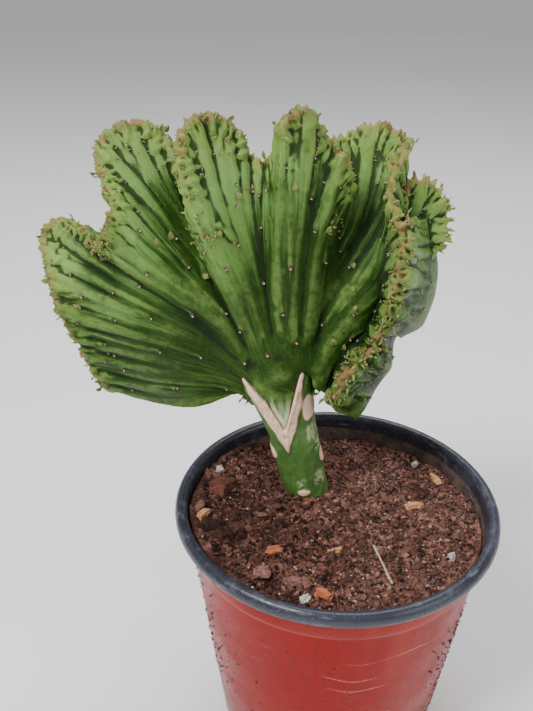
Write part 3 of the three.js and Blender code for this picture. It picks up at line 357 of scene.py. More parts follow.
def ico(level):
    """unit sphere as triangles"""
    t = (1 + 5 ** 0.5) / 2
    v = [(-1, t, 0), (1, t, 0), (-1, -t, 0), (1, -t, 0), (0, -1, t), (0, 1, t), (0, -1, -t),
         (0, 1, -t), (t, 0, -1), (t, 0, 1), (-t, 0, -1), (-t, 0, 1)]
    f = [(0, 11, 5), (0, 5, 1), (0, 1, 7), (0, 7, 10), (0, 10, 11), (1, 5, 9), (5, 11, 4),
         (11, 10, 2), (10, 7, 6), (7, 1, 8), (3, 9, 4), (3, 4, 2), (3, 2, 6), (3, 6, 8),
         (3, 8, 9), (4, 9, 5), (2, 4, 11), (6, 2, 10), (8, 6, 7), (9, 8, 1)]
    v = [np.array(p, float) / np.linalg.norm(p) for p in v]
    for _ in range(level):
        mid, nf = {}, []
        def m(a, b):
            k = (min(a, b), max(a, b))
            if k not in mid:
                p = v[a] + v[b]
                v.append(p / np.linalg.norm(p))
                mid[k] = len(v) - 1
            return mid[k]
        for a, b, c in f:
            x, y, z = m(a, b), m(b, c), m(c, a)
            nf += [(a, x, z), (b, y, x), (c, z, y), (x, y, z)]
        f = nf
    return np.array(v), np.array(f, int)


# ------------------------------------------------------------ material builder
class Mat:
    def __init__(self, name):
        self.m = bpy.data.materials.new(name)
        self.m.use_nodes = True
        self.t = self.m.node_tree
        self.t.nodes.clear()
        self.out = self.t.nodes.new("ShaderNodeOutputMaterial")
        self.bsdf = self.t.nodes.new("ShaderNodeBsdfPrincipled")
        self.t.links.new(self.bsdf.outputs[0], self.out.inputs[0])
        self.coord = self.t.nodes.new("ShaderNodeTexCoord").outputs["Object"]

    def put(self, node, key, val):
        if val is None:
            return
        sock = node.inputs[key]
        if isinstance(val, bpy.types.NodeSocket):
            self.t.links.new(val, sock)
        elif sock.type == 'RGBA' and len(val) == 3:
            sock.default_value = (*val, 1)
        else:
            sock.default_value = val

    def set(self, **kw):
        for k, v in kw.items():
            self.put(self.bsdf, k.replace("_", " "), v)

    def map(self, scale):
        n = self.t.nodes.new("ShaderNodeMapping")
        self.put(n, "Vector", self.coord)
        n.inputs["Scale"].default_value = scale
        return n.outputs[0]

    def vec(self, *parts):
        n = self.t.nodes.new("ShaderNodeCombineXYZ")
        for i, part in enumerate(parts):
            self.put(n, i, part)
        return n.outputs[0]

    def noise(self, scale, detail=4, rough=0.55, vector=None, distortion=0.0):
        n = self.t.nodes.new("ShaderNodeTexNoise")
        self.put(n, "Vector", vector or self.coord)
        self.put(n, "Scale", scale)
        self.put(n, "Detail", detail)
        self.put(n, "Roughness", rough)
        self.put(n, "Distortion", distortion)
        return n.outputs["Fac"]

    def voronoi(self, scale, feature='F1', vector=None, out="Distance"):
        n = self.t.nodes.new("ShaderNodeTexVoronoi")
        n.feature = feature
        self.put(n, "Vector", vector or self.coord)
        self.put(n, "Scale", scale)
        return n.outputs[out]

    def attr(self, name):
        n = self.t.nodes.new("ShaderNodeAttribute")
        n.attribute_name = name
        return n.outputs["Fac"]

    def math(self, op, a, b=0.5, c=None, clamp=False):
        n = self.t.nodes.new("ShaderNodeMath")
        n.operation = op
        n.use_clamp = clamp
        self.put(n, 0, a)
        self.put(n, 1, b)
        if c is not None:
            self.put(n, 2, c)
        return n.outputs[0]

    def range(self, v, lo, hi, a=0.0, b=1.0, interp='SMOOTHSTEP'):
        n = self.t.nodes.new("ShaderNodeMapRange")
        n.interpolation_type = interp
        self.put(n, 0, v)
        for i, x in enumerate((lo, hi, a, b)):
            n.inputs[i + 1].default_value = x
        return n.outputs[0]

    def ramp(self, fac, stops):
        n = self.t.nodes.new("ShaderNodeValToRGB")
        e = n.color_ramp.elements
        while len(e) > 1:
            e.remove(e[0])
        e[0].position, e[0].color = stops[0][0], (*stops[0][1], 1)
        for p, c in stops[1:]:
            x = e.new(p)
            x.color = (*c, 1)
        self.put(n, 0, fac)
        return n.outputs[0]

    def mix(self, fac, a, b, kind='MIX'):
        n = self.t.nodes.new("ShaderNodeMix")
        n.data_type = 'RGBA'
        n.blend_type = kind
        self.put(n, 0, fac)
        self.put(n, 6, a)
        self.put(n, 7, b)
        return n.outputs[2]

    def bump(self, height, strength, distance, normal=None):
        n = self.t.nodes.new("ShaderNodeBump")
        self.put(n, "Strength", strength)
        self.put(n, "Distance", distance)
        self.put(n, "Height", height)
        if normal is not None:
            self.put(n, "Normal", normal)
        return n.outputs[0]

    def xyz(self, which="Object"):
        n = self.t.nodes.new("ShaderNodeSeparateXYZ")
        self.put(n, 0, self.coord)
        return n.outputs

# ----------------------------------------------------------------------- crest
# How each fan is finished: wave is the flutter of its rim, young is how yellow
# its growth is, rib the height of its ribs, tooth and pitch the size and spacing
# of the teeth along its rim.
LOOK = {
    'left':       dict(wave=0.9, young=0.50, rib=1.0, tooth=1.9, seed=1, pitch=2.9),
    'centre':     dict(wave=0.9, young=0.45, rib=1.0, tooth=1.9, seed=2, pitch=2.9),
    'right':      dict(wave=0.8, young=0.50, rib=1.1, tooth=2.6, seed=3, pitch=4.6, body=0.18, reach=12),
    'r2':         dict(wave=1.3, young=0.75, rib=1.0, tooth=3.2, seed=4, pitch=5.0, reach=12),
    'r3':         dict(wave=1.3, young=0.32, rib=1.1, tooth=3.8, seed=5, pitch=6.8, body=0.35, reach=26, ease1=12.0),
    'r4':         dict(wave=1.2, young=0.10, rib=1.2, tooth=2.8, seed=6, pitch=5.6, body=0.40, reach=24, ease0=12.0),
    'back_left':  dict(wave=1.0, young=0.4, rib=1.0, tooth=1.5, seed=7, pitch=3.2),
    'back_right': dict(wave=1.0, young=0.4, rib=1.0, tooth=1.5, seed=8, pitch=3.2),
}
STEP_K = 0.62      # mm between columns at the rim
STEP_S = 0.75      # mm between rows


class Sheet:
    def __init__(self, name, spec):
        self.name, self.look = name, LOOK[name]
        cols = np.array(spec['cols'], float)
        n = len(cols) - 1
        # ease small jogs out of the columns
        c2 = cols.copy()
        c2[1:-1] = 0.76 * cols[1:-1] + 0.12 * (cols[:-2] + cols[2:])
        c2[:, 3] = 0.6 * cols[:, 3] + 0.4 * c2[:, 3]
        cols = c2
        kk = np.linspace(0, n, 1200)
        rim = catmull(cols[:, 3], kk)
        mid = catmull(cols[:, 2], kk)
        arc = np.concatenate([[0], np.cumsum(0.8 * np.linalg.norm(np.diff(rim, axis=0), axis=1)
                                             + 0.35 * np.linalg.norm(np.diff(mid, axis=0), axis=1))])
        nk = max(8, int(arc[-1] / STEP_K))
        self.ks = np.interp(np.linspace(0, arc[-1], nk + 1), arc, kk)
        length = np.linalg.norm(np.diff(cols, axis=1), axis=2).sum(1).max()
        ns = max(8, int(length / STEP_S))
        self.ss = np.linspace(0, 1, ns + 1)
        C = catmull(cols, self.ks)                                   # nk,4,3
        P = np.swapaxes(catmull(np.swapaxes(C, 0, 1), self.ss * 3), 0, 1)
        self.thick = catmull(np.array(spec['t'], float)[:, None], self.ss * 3)[:, 0]
        # flutter along the rim
        du, dv = np.gradient(P, axis=0), np.gradient(P, axis=1)
        nrm = unit(np.cross(du, dv))
        if nrm[..., 1].mean() > 0:
            nrm = -nrm
            self.flip = True
        else:
            self.flip = False
        alen = np.concatenate([[0], np.cumsum(np.linalg.norm(np.diff(P[:, -1], axis=0), axis=1))])
        ph = self.look['seed'] * 1.7
        wav = (np.sin(alen / 13.5 * 2 * np.pi + ph) + 0.6 * np.sin(alen / 8.1 * 2 * np.pi + 2.3 * ph))
        amp = self.look['wave'] * smooth(0.45, 1.0, self.ss) ** 1.5
        crimp = np.sin(alen / 5.4 * 2 * np.pi + 1.3 * ph + 1.4 * np.sin(alen / 17.0 + ph))
        P = P + nrm * (wav[:, None] * amp[None] + 0.55 * crimp[:, None] * smooth(0.86, 1.0, self.ss)[None])[..., None]
        du, dv = np.gradient(P, axis=0), np.gradient(P, axis=1)
        nrm = unit(np.cross(du, dv))
        if self.flip:
            nrm = -nrm
        self.P, self.N, self.V = P, nrm, unit(dv)
        seg = np.linalg.norm(np.diff(P, axis=0), axis=2)
        self.A = np.concatenate([np.zeros((1, seg.shape[1])), np.cumsum(seg, axis=0)])   # arc across
        seg = np.linalg.norm(np.diff(P, axis=1), axis=2)
        self.L = np.concatenate([np.zeros((seg.shape[0], 1)), np.cumsum(seg, axis=1)], 1)  # arc outward
        self.len = self.L[:, -1]

    def column(self, k):
        x = np.interp(k, self.ks, np.arange(len(self.ks)))
        i = min(int(x), len(self.ks) - 2)
        return i, x - i

    def fields(self):
        """how far each place is from the rim, and the way out to it"""
        rim = self.P[:, -1]
        kd = KDTree(len(rim))
        for i, q in enumerate(rim):
            kd.insert(q, i)
        kd.balance()
        flat = self.P.reshape(-1, 3)
        near = np.array([kd.find(q)[1] for q in flat])
        d = rim[near] - flat
        self.dist = np.linalg.norm(d, axis=1).reshape(self.P.shape[:2])
        self.out = unit(d).reshape(self.P.shape)
        self.out[:, -2:] = self.V[:, -2:]
        # square to the rim at the rim itself
        t = unit(np.gradient(rim, axis=0))
        sq = unit(self.V[:, -1] - t * np.einsum('ij,ij->i', self.V[:, -1], t)[:, None])
        self.square = sq

    def at(self, i, j):
        i0, j0 = min(max(int(i), 0), len(self.ks) - 2), min(max(int(j), 0), len(self.ss) - 2)
        u, v = i - i0, j - j0
        P = self.P
        return (P[i0, j0] * (1 - u) * (1 - v) + P[i0 + 1, j0] * u * (1 - v)
                + P[i0, j0 + 1] * (1 - u) * v + P[i0 + 1, j0 + 1] * u * v), i0, j0

    def walk(self, i, j, sign, taken, gap0, gap1, longest=400.0):
        """a rib's course over the sheet: sign +1 towards the rim, -1 inwards"""
        h, run = 0.6, 0.0
        I, J, Q = [i], [j], [self.at(i, j)[0]]
        for _ in range(600):
            q, i0, j0 = self.at(i, j)
            w = math.exp(-(self.dist[i0, j0] / 12.5) ** 2)
            way = self.out[i0, j0]
            if self.dist[i0, j0] < 1.6:
                way = self.square[i0]
            d = way * w + self.V[i0, j0] * (1 - w)
            d = d / max(1e-6, math.sqrt(d @ d)) * (sign * h)
            du, dv = self.P[i0 + 1, j0] - self.P[i0, j0], self.P[i0, j0 + 1] - self.P[i0, j0]
            a, b, c, p, q2 = du @ du, du @ dv, dv @ dv, d @ du, d @ dv
            det = a * c - b * b
            if det < 1e-9:
                break
            di, dj = (c * p - b * q2) / det, (a * q2 - b * p) / det
            s = min(1.0, 6.0 / max(1e-6, abs(di)))
            i, j = i + di * s, j + dj * s
            if i < 0 or i > len(self.ks) - 1.01 or j < 0.03 * len(self.ss):
                break
            run += h
            if j >= len(self.ss) - 1:
                I.append(i)
                J.append(len(self.ss) - 1.0)
                Q.append(self.at(i, len(self.ss) - 1.0)[0])
                break
            q = self.at(i, j)[0]
            if len(taken):
                lim = min(gap1, gap0 + 0.13 * run) if sign < 0 else gap0
                e = taken - q
                if np.einsum('ij,ij->i', e, e).min() < lim * lim:
                    break
            I.append(i)
            J.append(j)
            Q.append(q)
            if run > longest:
                break
        return np.array(I), np.array(J), np.array(Q)

    def seeds(self, given, rs):
        """every rib of one face, from its areole out to the rim"""
        ribs, taken, heads = [], np.zeros((0, 3)), []
        for k, s0 in sorted(given, key=lambda g: g[1]):
            i, f = self.column(k)
            I, J, Q = self.walk(i + f, s0 * (len(self.ss) - 1), 1, taken, 1.3, 1.3)
            if len(Q) < 4:
                continue
            ribs.append(dict(I=I, J=J, Q=Q, a=1.0 + 0.25 * rs.random(), given=True, whole=J[-1] > len(self.ss) - 1.5))
            taken = np.concatenate([taken, Q])
            heads.append(Q[-1])
        rim = self.P[:, -1]
        arc = np.concatenate([[0], np.cumsum(np.linalg.norm(np.diff(rim, axis=0), axis=1))])
        n = max(3, int(arc[-1] / self.look.get('pitch', 3.1)))
        order = []
        for q in range(n):
            x, f, m = 0.0, 0.5, q + 1
            while m:
                x += f * (m & 1)
                f *= 0.5
                m >>= 1
            order.append(x)
        for x in order:
            pos = arc[-1] * (x + 0.25 * (rs.random() - 0.5) / n)
            i = float(np.interp(pos, arc, np.arange(len(rim))))
            q = self.at(i, len(self.ss) - 1.0)[0]
            if heads and min(np.linalg.norm(q - h) for h in heads) < 1.6:
                continue
            I, J, Q = self.walk(i, len(self.ss) - 1.0, -1, taken, 1.25, 7.0, self.look.get('reach', 7) + 9 * rs.random() + 60 * rs.random() ** 5)
            if len(Q) < 4:
                continue
            ribs.append(dict(I=I[::-1], J=J[::-1], Q=Q[::-1], a=0.85 + 0.35 * rs.random(), given=False, whole=True))
            taken = np.concatenate([taken, Q])
            heads.append(q)
        return ribs

    def relief(self, ribs, side):
        H, G = np.zeros_like(self.A), np.zeros_like(self.A)
        nk, ns = H.shape
        P = self.P
        for rib in ribs:
            Q, I, J = rib['Q'], rib['I'], rib['J']
            u = np.concatenate([[0], np.cumsum(np.linalg.norm(np.diff(Q, axis=0), axis=1))])
            T = unit(np.gradient(Q, axis=0))
            total = u[-1]
            for q, t, i, j, uu in zip(Q, T, I, J, u):
                i0, j0 = min(int(i), nk - 2), min(int(j), ns - 2)
                n = self.N[i0, j0] * side
                sd = np.cross(n, t)
                d = total - uu
                near = float(smooth(14.0, 2.5, d))
                nose = math.exp(-(uu / 4.6) ** 1.5)
                start = float(smooth(-0.4, 1.0, uu))
                body = self.look.get('body', 0.13)
                amp = rib['a'] * self.look['rib'] * (body + 0.60 * nose * (total > 7) + 0.72 * near) * start
                broad = rib['a'] * self.look['rib'] * (0.55 * body + 0.14 * near) * float(smooth(0.0, 9.0, uu))
                f = (1.0 - 0.34 * near) * (0.50 + 0.50 * float(smooth(0.0, 10.0, uu)))
                fall = min(1.0, abs(sd[2]) * 1.1)
                down, up = (1.0 - 0.24 * fall) * f, (1.0 + 0.40 * fall) * f
                wp, wm = (down, up) if sd[2] < 0 else (up, down)
                wide = 2.3 - 1.1 * near
                gi = max(1e-3, math.sqrt(((P[i0 + 1, j0] - P[i0, j0]) ** 2).sum()))
                gj = max(1e-3, math.sqrt(((P[i0, j0 + 1] - P[i0, j0]) ** 2).sum()))
                ri, rj = min(70, int(5.5 / gi) + 1), min(12, int(5.5 / gj) + 1)
                ia, ib, ja, jb = max(0, i0 - ri), min(nk, i0 + ri + 2), max(0, j0 - rj), min(ns, j0 + rj + 2)
                o = P[ia:ib, ja:jb] - q
                lat, tan = o @ sd, o @ t
                w = np.where(lat > 0, wp, wm)
                e = np.exp(-(np.sqrt((lat / w) ** 2 + (tan / 1.0) ** 2)) ** 1.3)
                e2 = np.exp(-((lat - 0.5 * (wp - wm)) / wide) ** 2 - (tan / 1.3) ** 2)
                H[ia:ib, ja:jb] = np.maximum(H[ia:ib, ja:jb], amp * e + broad * e2)
                lo = lat if sd[2] < 0 else -lat
                g = amp * (0.60 - 0.45 * nose) * np.exp(-((lo - 1.9 * f - 0.4) / 0.9) ** 2 - (tan / 1.0) ** 2)
                G[ia:ib, ja:jb] = np.maximum(G[ia:ib, ja:jb], g)
        return H - G * smooth(1.0, 0.2, H)

    def build(self, given, rs):
        self.fields()
        self.ribs_f = self.seeds(given, rs)
        self.ribs_b = self.seeds([], rs)
        Hf, Hb = self.relief(self.ribs_f, 1), self.relief(self.ribs_b, -1)
        # rim teeth, at the ends of both faces' ribs, or of the front face's ribs alone where the teeth are large
        E = np.zeros(len(self.ks))
        for ribs in ((self.ribs_f,) if self.look['tooth'] > 2.2 else (self.ribs_f, self.ribs_b)):
            for rib in ribs:
                if not rib['whole']:
                    continue
                i = min(int(rib['I'][-1]), len(self.ks) - 2)
                d = self.A[:, -1] - self.A[i, -1]
                E = np.maximum(E, self.look['tooth'] * rib['a'] * np.exp(-np.abs(d / 0.65) ** 1.3))
        back = self.len[:, None] - self.L                              # distance in from the rim
        P = self.P + self.V * (E[:, None] * smooth(3.2, 0.0, back))[..., None]
        r = 1.9                                                        # rim roundness
        rnd = np.sqrt(np.clip(1 - (1 - np.clip(back / r, 0, 1)) ** 2, 0.0, 1))
        half = self.thick[None] / 2 * (1 - 0.34 * smooth(7.0, 0.0, back))
        mid = self.A[:, int(0.7 * self.A.shape[1])]
        for reach, floor, arc in ((self.look.get('ease0'), 0.35, mid), (self.look.get('ease1'), 0.55, mid[-1] - mid)):
            if reach:
                half = half * (floor + (1 - floor) * smooth(0.0, reach, arc))[:, None]
        tf = np.maximum((half + Hf) * rnd, 0.06)
        tb = np.maximum((half + Hb) * rnd, 0.06)
        F, B = P + self.N * tf[..., None], P - self.N * tb[..., None]
        self.F, self.B, self.Hf, self.Hb = F, B, Hf, Hb
        nk, ns = F.shape[:2]
        idx = np.arange(nk * ns).reshape(nk, ns)
        v = np.concatenate([F.reshape(-1, 3), B.reshape(-1, 3)])
        q = lambda a: np.stack([a[:-1, :-1], a[1:, :-1], a[1:, 1:], a[:-1, 1:]], -1).reshape(-1, 4)
        o = nk * ns
        faces = [q(idx), q(idx)[:, ::-1] + o]
        strip = lambda a, b: np.stack([a[:-1], a[1:], b[1:], b[:-1]], -1)
        faces.append(strip(idx[:, -1], idx[:, -1] + o))
        faces.append(strip(idx[:, 0] + o, idx[:, 0]))
        faces.append(strip(idx[0] + o, idx[0])[:, ::-1])
        faces.append(strip(idx[-1], idx[-1] + o)[:, ::-1])
        f = np.concatenate(faces)
        # turn it the right way out
        a, b, c, d = (v[f[:, i]] for i in range(4))
        vol = (np.einsum('ij,ij->i', a, np.cross(b, c)) + np.einsum('ij,ij->i', a, np.cross(c, d))).sum()
        return v, (f if vol > 0 else f[:, ::-1])


def crest_data():
    sheets, V, F, off = {}, [], [], 0
    for name, spec in NETS.items():
        rs = np.random.default_rng(100 + LOOK[name]['seed'])
        sh = Sheet(name, spec)
        v, f = sh.build(AREOLES.get(name, []), rs)
        sheets[name] = sh
        V.append(v)
        F.append(f + off)
        off += len(v)
    return sheets, V, F


def neck_ring(z, grow=0.0, seg=96):
    """the rootstock's blunt-angled section at height z"""
    cx, rx, ry = (np.interp(z, STEM[:, 0], STEM[:, i]) for i in (1, 2, 3))
    a = np.arange(seg) / seg * 2 * np.pi
    ang = 1 + 0.045 * np.cos(3 * a + 0.5)
    return np.stack([cx + (rx * ang + grow) * np.cos(a), STEM_Y + (ry * ang + grow) * np.sin(a), np.full(seg, z)], -1)


def loft_faces(rows, seg, closed_caps=True):
    i = np.arange(seg)
    j = (i + 1) % seg
    f = np.concatenate([np.stack([r * seg + i, r * seg + j, (r + 1) * seg + j, (r + 1) * seg + i], -1) for r in range(rows - 1)])
    return f


def cut_side(x, z):
    """distance inside the V of the graft cut (mm), negative outside, in the plant's face"""
    def line(p, q):
        d = q - p
        n = np.array([d[1], -d[0]]) / np.hypot(*d)
        return (x - p[0]) * n[0] + (z - p[1]) * n[1]
    l1 = line(CUT[2], CUT[1])      # lower left
    l2 = line(CUT[1], CUT[0])      # upper left
    left = np.where(z < CUT[1][1], l1, l2)
    right = -line(CUT[2], CUT[3])
    return np.minimum(left, right)


def boolean(me_a, me_b, op):
    a = bpy.data.objects.new("bool_a", me_a)
    b = bpy.data.objects.new("bool_b", me_b)
    for o in (a, b):
        bpy.context.scene.collection.objects.link(o)
    m = a.modifiers.new("b", 'BOOLEAN')
    m.object, m.operation, m.solver = b, op, 'EXACT'
    dg = bpy.context.evaluated_depsgraph_get()
    me = bpy.data.meshes.new_from_object(a.evaluated_get(dg))
    for o in (a, b):
        bpy.data.objects.remove(o)
    return me


def prism(shrink):
    (lx, lz), (mx, mz), (bx, bz), (rx, rz) = CUT
    out = [(bx, bz + shrink * 2.4), (rx - shrink, rz), (rx - shrink, rz + 15), (lx + shrink, rz + 15),
           (lx + shrink, lz + shrink * 0.8), (mx + shrink, mz + shrink * 0.8)]
    n = len(out)
    v = [(x, STEM_Y - 30, z) for x, z in out] + [(x, STEM_Y + 30, z) for x, z in out]
    me = bpy.data.meshes.new("prism")
    faces = [list(range(n)), list(range(2 * n - 1, n - 1, -1))] + [[i, i + n, (i + 1) % n + n, (i + 1) % n] for i in range(n)]
    me.from_pydata([tuple(c * MM for c in p) for p in v], [], faces)
    import bmesh
    bm = bmesh.new()
    bm.from_mesh(me)
    bmesh.ops.recalc_face_normals(bm, faces=bm.faces)
    bm.to_mesh(me)
    bm.free()
    return me


def closed_loft(name, rings):
    seg = len(rings[0])
    v = np.concatenate(rings)
    f = loft_faces(len(rings), seg)
    lo, hi = len(v), len(v) + 1
    v = np.concatenate([v, [rings[0].mean(0)], [rings[-1].mean(0)]])
    i = np.arange(seg)
    j = (i + 1) % seg
    last = (len(rings) - 1) * seg
    caps = np.concatenate([np.stack([np.full(seg, lo), j, i], -1), np.stack([np.full(seg, hi), last + i, last + j], -1)])
    return make_mesh(name, v, [f, caps])


def remesh(me, voxel_mm, name):
    ob = bpy.data.objects.new(name, me)
    bpy.context.scene.collection.objects.link(ob)
    m = ob.modifiers.new("r", 'REMESH')
    m.mode, m.voxel_size, m.adaptivity = 'VOXEL', voxel_mm * MM, 0.0
    m.use_smooth_shade = True
    dg = bpy.context.evaluated_depsgraph_get()
    out = bpy.data.meshes.new_from_object(ob.evaluated_get(dg))
    bpy.data.objects.remove(ob)
    return out


def decimate(me, target_tris):
    ob = bpy.data.objects.new("dec", me)
    bpy.context.scene.collection.objects.link(ob)
    tris = sum(len(p.vertices) - 2 for p in me.polygons) if len(me.polygons) < 1000 else len(me.polygons) * 2
    if tris <= target_tris:
        bpy.data.objects.remove(ob)
        return me
    m = ob.modifiers.new("d", 'DECIMATE')
    m.ratio = target_tris / tris
    dg = bpy.context.evaluated_depsgraph_get()
    out = bpy.data.meshes.new_from_object(ob.evaluated_get(dg))
    bpy.data.objects.remove(ob)
    out.polygons.foreach_set("use_smooth", np.full(len(out.polygons), True))
    out.update()
    return out


# ------------------------------------------------------------------- materials
def crest_material():
    m = Mat("crest_skin")
    grow, cav, young, graft = m.attr("grow"), m.attr("cav"), m.attr("young"), m.attr("graft")
    # streaks that follow the growth outwards
    lane = m.attr("lane")
    run = m.math('MULTIPLY', grow, 2.2)
    streak = m.noise(1.0, 5, 0.62, vector=m.vec(m.math('MULTIPLY', lane, 0.20), run, 0.0), distortion=0.25)
    hair = m.noise(1.0, 4, 0.6, vector=m.vec(m.math('MULTIPLY', lane, 0.95), m.math('MULTIPLY', grow, 5.0), 0.0))
    deep = m.ramp(grow, [(0.0, (0.014, 0.048, 0.003)), (0.30, (0.012, 0.040, 0.001)),
                         (0.62, (0.011, 0.038, 0.001)), (0.86, (0.017, 0.052, 0.002)), (1.0, (0.045, 0.098, 0.006))])
    fresh = m.ramp(grow, [(0.0, (0.034, 0.094, 0.006)), (0.45, (0.070, 0.165, 0.018)),
                          (0.80, (0.200, 0.360, 0.100)), (1.0, (0.240, 0.350, 0.070))])
    patch = m.noise(34, 3, 0.5)
    # young carries the yellower growth and also the painted shade at the folds between lobes
    t = m.math('ADD', m.math('MULTIPLY', young, 1.00), m.math('MULTIPLY', m.math('SUBTRACT', patch, 0.5), 0.8))
    t = m.math('ADD', t, m.math('MULTIPLY', m.math('SUBTRACT', streak, 0.5), 1.7))
    col = m.mix(m.range(t, 0.32, 1.02), deep, fresh)
    # fine lighter and darker lines along the growth: painted highlight and painted shade of fine striations
    col = m.mix(m.range(hair, 0.54, 0.73, 0.0, 0.44), col, (0.200, 0.340, 0.100))
    col = m.mix(m.range(hair, 0.46, 0.26, 0.0, 0.40), col, (0.007, 0.026, 0.002))
    # pale marbling of older tissue
    marb = m.noise(120, 5, 0.62, distortion=1.2)
    zone = m.range(grow, 0.66, 0.12)
    col = m.mix(m.math('MULTIPLY', m.math('MULTIPLY', m.range(marb, 0.52, 0.68), zone), 0.30), col, (0.100, 0.185, 0.020))
    # fine mottling
    fine = m.noise(620, 4, 0.6)
    col = m.mix(m.range(fine, 0.35, 0.75, 0.0, 0.16), col, (0.070, 0.140, 0.010))
    dirt = m.noise(260, 3, 0.5)
    col = m.mix(m.range(dirt, 0.60, 0.72, 0.0, 0.35), col, (0.005, 0.018, 0.001))
    # painted highlight on the ridges, partly a real waxy bloom; painted shade in the furrows
    ridge = m.range(cav, -0.06, -0.42, 0.0, 1.0)
    bloom_and_sheen = m.noise(300, 4, 0.7)
    col = m.mix(m.math('MULTIPLY', ridge, m.range(bloom_and_sheen, 0.30, 0.62, 0.12, 0.52)), col, (0.190, 0.330, 0.075))
    furrow = m.range(cav, 0.03, 0.38, 0.0, 0.86)
    col = m.mix(furrow, col, (0.003, 0.014, 0.002))
    # the newest tissue, right at the rim, is flushed brownish pink
    flush = m.math('MULTIPLY', m.range(grow, 0.962, 0.996), m.range(m.noise(210, 3, 0.6), 0.40, 0.60, 0.10, 0.80))
    col = m.mix(flush, col, (0.300, 0.135, 0.075))
    # whitish tissue at the cut
    gr = m.math('MULTIPLY', graft, m.range(m.noise(420, 3, 0.5), 0.25, 0.6, 0.75, 1.0))
    col = m.mix(gr, col, (0.640, 0.720, 0.480))
    rough = m.range(m.noise(180, 4, 0.6), 0.3, 0.7, 0.36, 0.56)
    h = m.math('ADD', m.math('MULTIPLY', m.noise(900, 3, 0.6), 0.35), m.noise(330, 3, 0.5))
    h = m.math('ADD', h, m.math('ADD', m.math('MULTIPLY', hair, 1.1), m.math('MULTIPLY', streak, 1.6)))
    m.set(Base_Color=col, Roughness=rough, Normal=m.bump(h, 0.36, 0.0010), Specular_IOR_Level=0.15)
    return m.m


def leaf_material():
    m = Mat("leaflet")
    tip, hue = m.attr("tip"), m.attr("hue")
    col = m.ramp(hue, [(0.0, (0.035, 0.095, 0.006)), (0.5, (0.090, 0.190, 0.014)), (1.0, (0.230, 0.300, 0.045))])
    col = m.mix(m.range(tip, 0.45, 1.0, 0.0, 0.85), col, (0.330, 0.120, 0.085))
    col = m.mix(m.range(m.noise(1500, 2, 0.5), 0.4, 0.7, 0.0, 0.4), col, (0.42, 0.44, 0.24))
    m.set(Base_Color=col, Roughness=0.5, Normal=m.bump(m.noise(2500, 2, 0.5), 0.3, 0.0002))
    return m.m


def tooth_material():
    m = Mat("tooth")
    tip, hue = m.attr("tip"), m.attr("hue")
    green = m.ramp(hue, [(0.0, (0.070, 0.170, 0.014)), (1.0, (0.250, 0.380, 0.040))])
    tipc = m.ramp(hue, [(0.0, (0.30, 0.13, 0.10)), (0.5, (0.46, 0.27, 0.20)), (1.0, (0.36, 0.36, 0.16))])
    col = m.mix(m.range(tip, 0.45, 0.85), green, tipc)
    m.set(Base_Color=col, Roughness=0.55, Normal=m.bump(m.noise(2500, 2, 0.5), 0.3, 0.0002))
    return m.m


def areole_material():
    m = Mat("areole")
    tip, hue = m.attr("tip"), m.attr("hue")
    base = m.ramp(hue, [(0.0, (0.040, 0.018, 0.012)), (0.6, (0.110, 0.045, 0.030))])
    tan = m.math('MULTIPLY', m.range(tip, 0.2, 0.7, 0.35, 1.0), m.range(hue, 1.0, 1.4, 0.0, 1.0))
    col = m.mix(tan, base, (0.78, 0.50, 0.40))
    col = m.mix(m.range(m.noise(2600, 3, 0.6), 0.4, 0.7, 0.0, 0.5), col, (0.10, 0.05, 0.035))
    m.set(Base_Color=col, Roughness=0.6, Normal=m.bump(m.noise(3000, 2, 0.5), 0.4, 0.0002))
    return m.m


def stem_material():
    m = Mat("rootstock_skin")
    cal, scar, pale = m.attr("callus"), m.attr("scar"), m.attr("pale")
    col = m.ramp(m.noise(70, 4, 0.55), [(0.30, (0.050, 0.140, 0.026)), (0.70, (0.110, 0.230, 0.050))])
    col = m.mix(m.range(m.noise(420, 4, 0.6), 0.45, 0.75, 0.0, 0.35), col, (0.130, 0.230, 0.045))
    stre = m.noise(60, 4, 0.6, vector=m.map((6, 6, 0.9)))
    col = m.mix(m.range(stre, 0.5, 0.75, 0.0, 0.45), col, (0.012, 0.045, 0.006))
    mot = m.range(m.noise(330, 5, 0.65), 0.42, 0.60, 0.0, 1.0)
    col = m.mix(m.math('MULTIPLY', pale, mot), col, (0.44, 0.50, 0.27))
    fib = m.noise(90, 6, 0.65, vector=m.map((9, 2, 1.6)))
    cork = m.ramp(fib, [(0.25, (0.42, 0.180, 0.090)), (0.38, (0.82, 0.48, 0.30)), (0.52, (0.99, 0.70, 0.50)), (0.85, (1.0, 0.86, 0.72))])
    mask = m.math('MAXIMUM', cal, scar)
    edge = m.math('MULTIPLY', mask, m.math('SUBTRACT', 1.0, mask))
    col = m.mix(mask, col, cork)
    col = m.mix(m.math('MULTIPLY', edge, 2.6, clamp=True), col, (0.090, 0.050, 0.022))
    h = m.math('ADD', m.math('MULTIPLY', fib, mask), m.math('MULTIPLY', m.noise(500, 4, 0.6), 0.4))
    rough = m.range(mask, 0.0, 1.0, 0.42, 0.85)
    m.set(Base_Color=col, Roughness=rough, Normal=m.bump(h, 0.55, 0.0010))
    return m.m


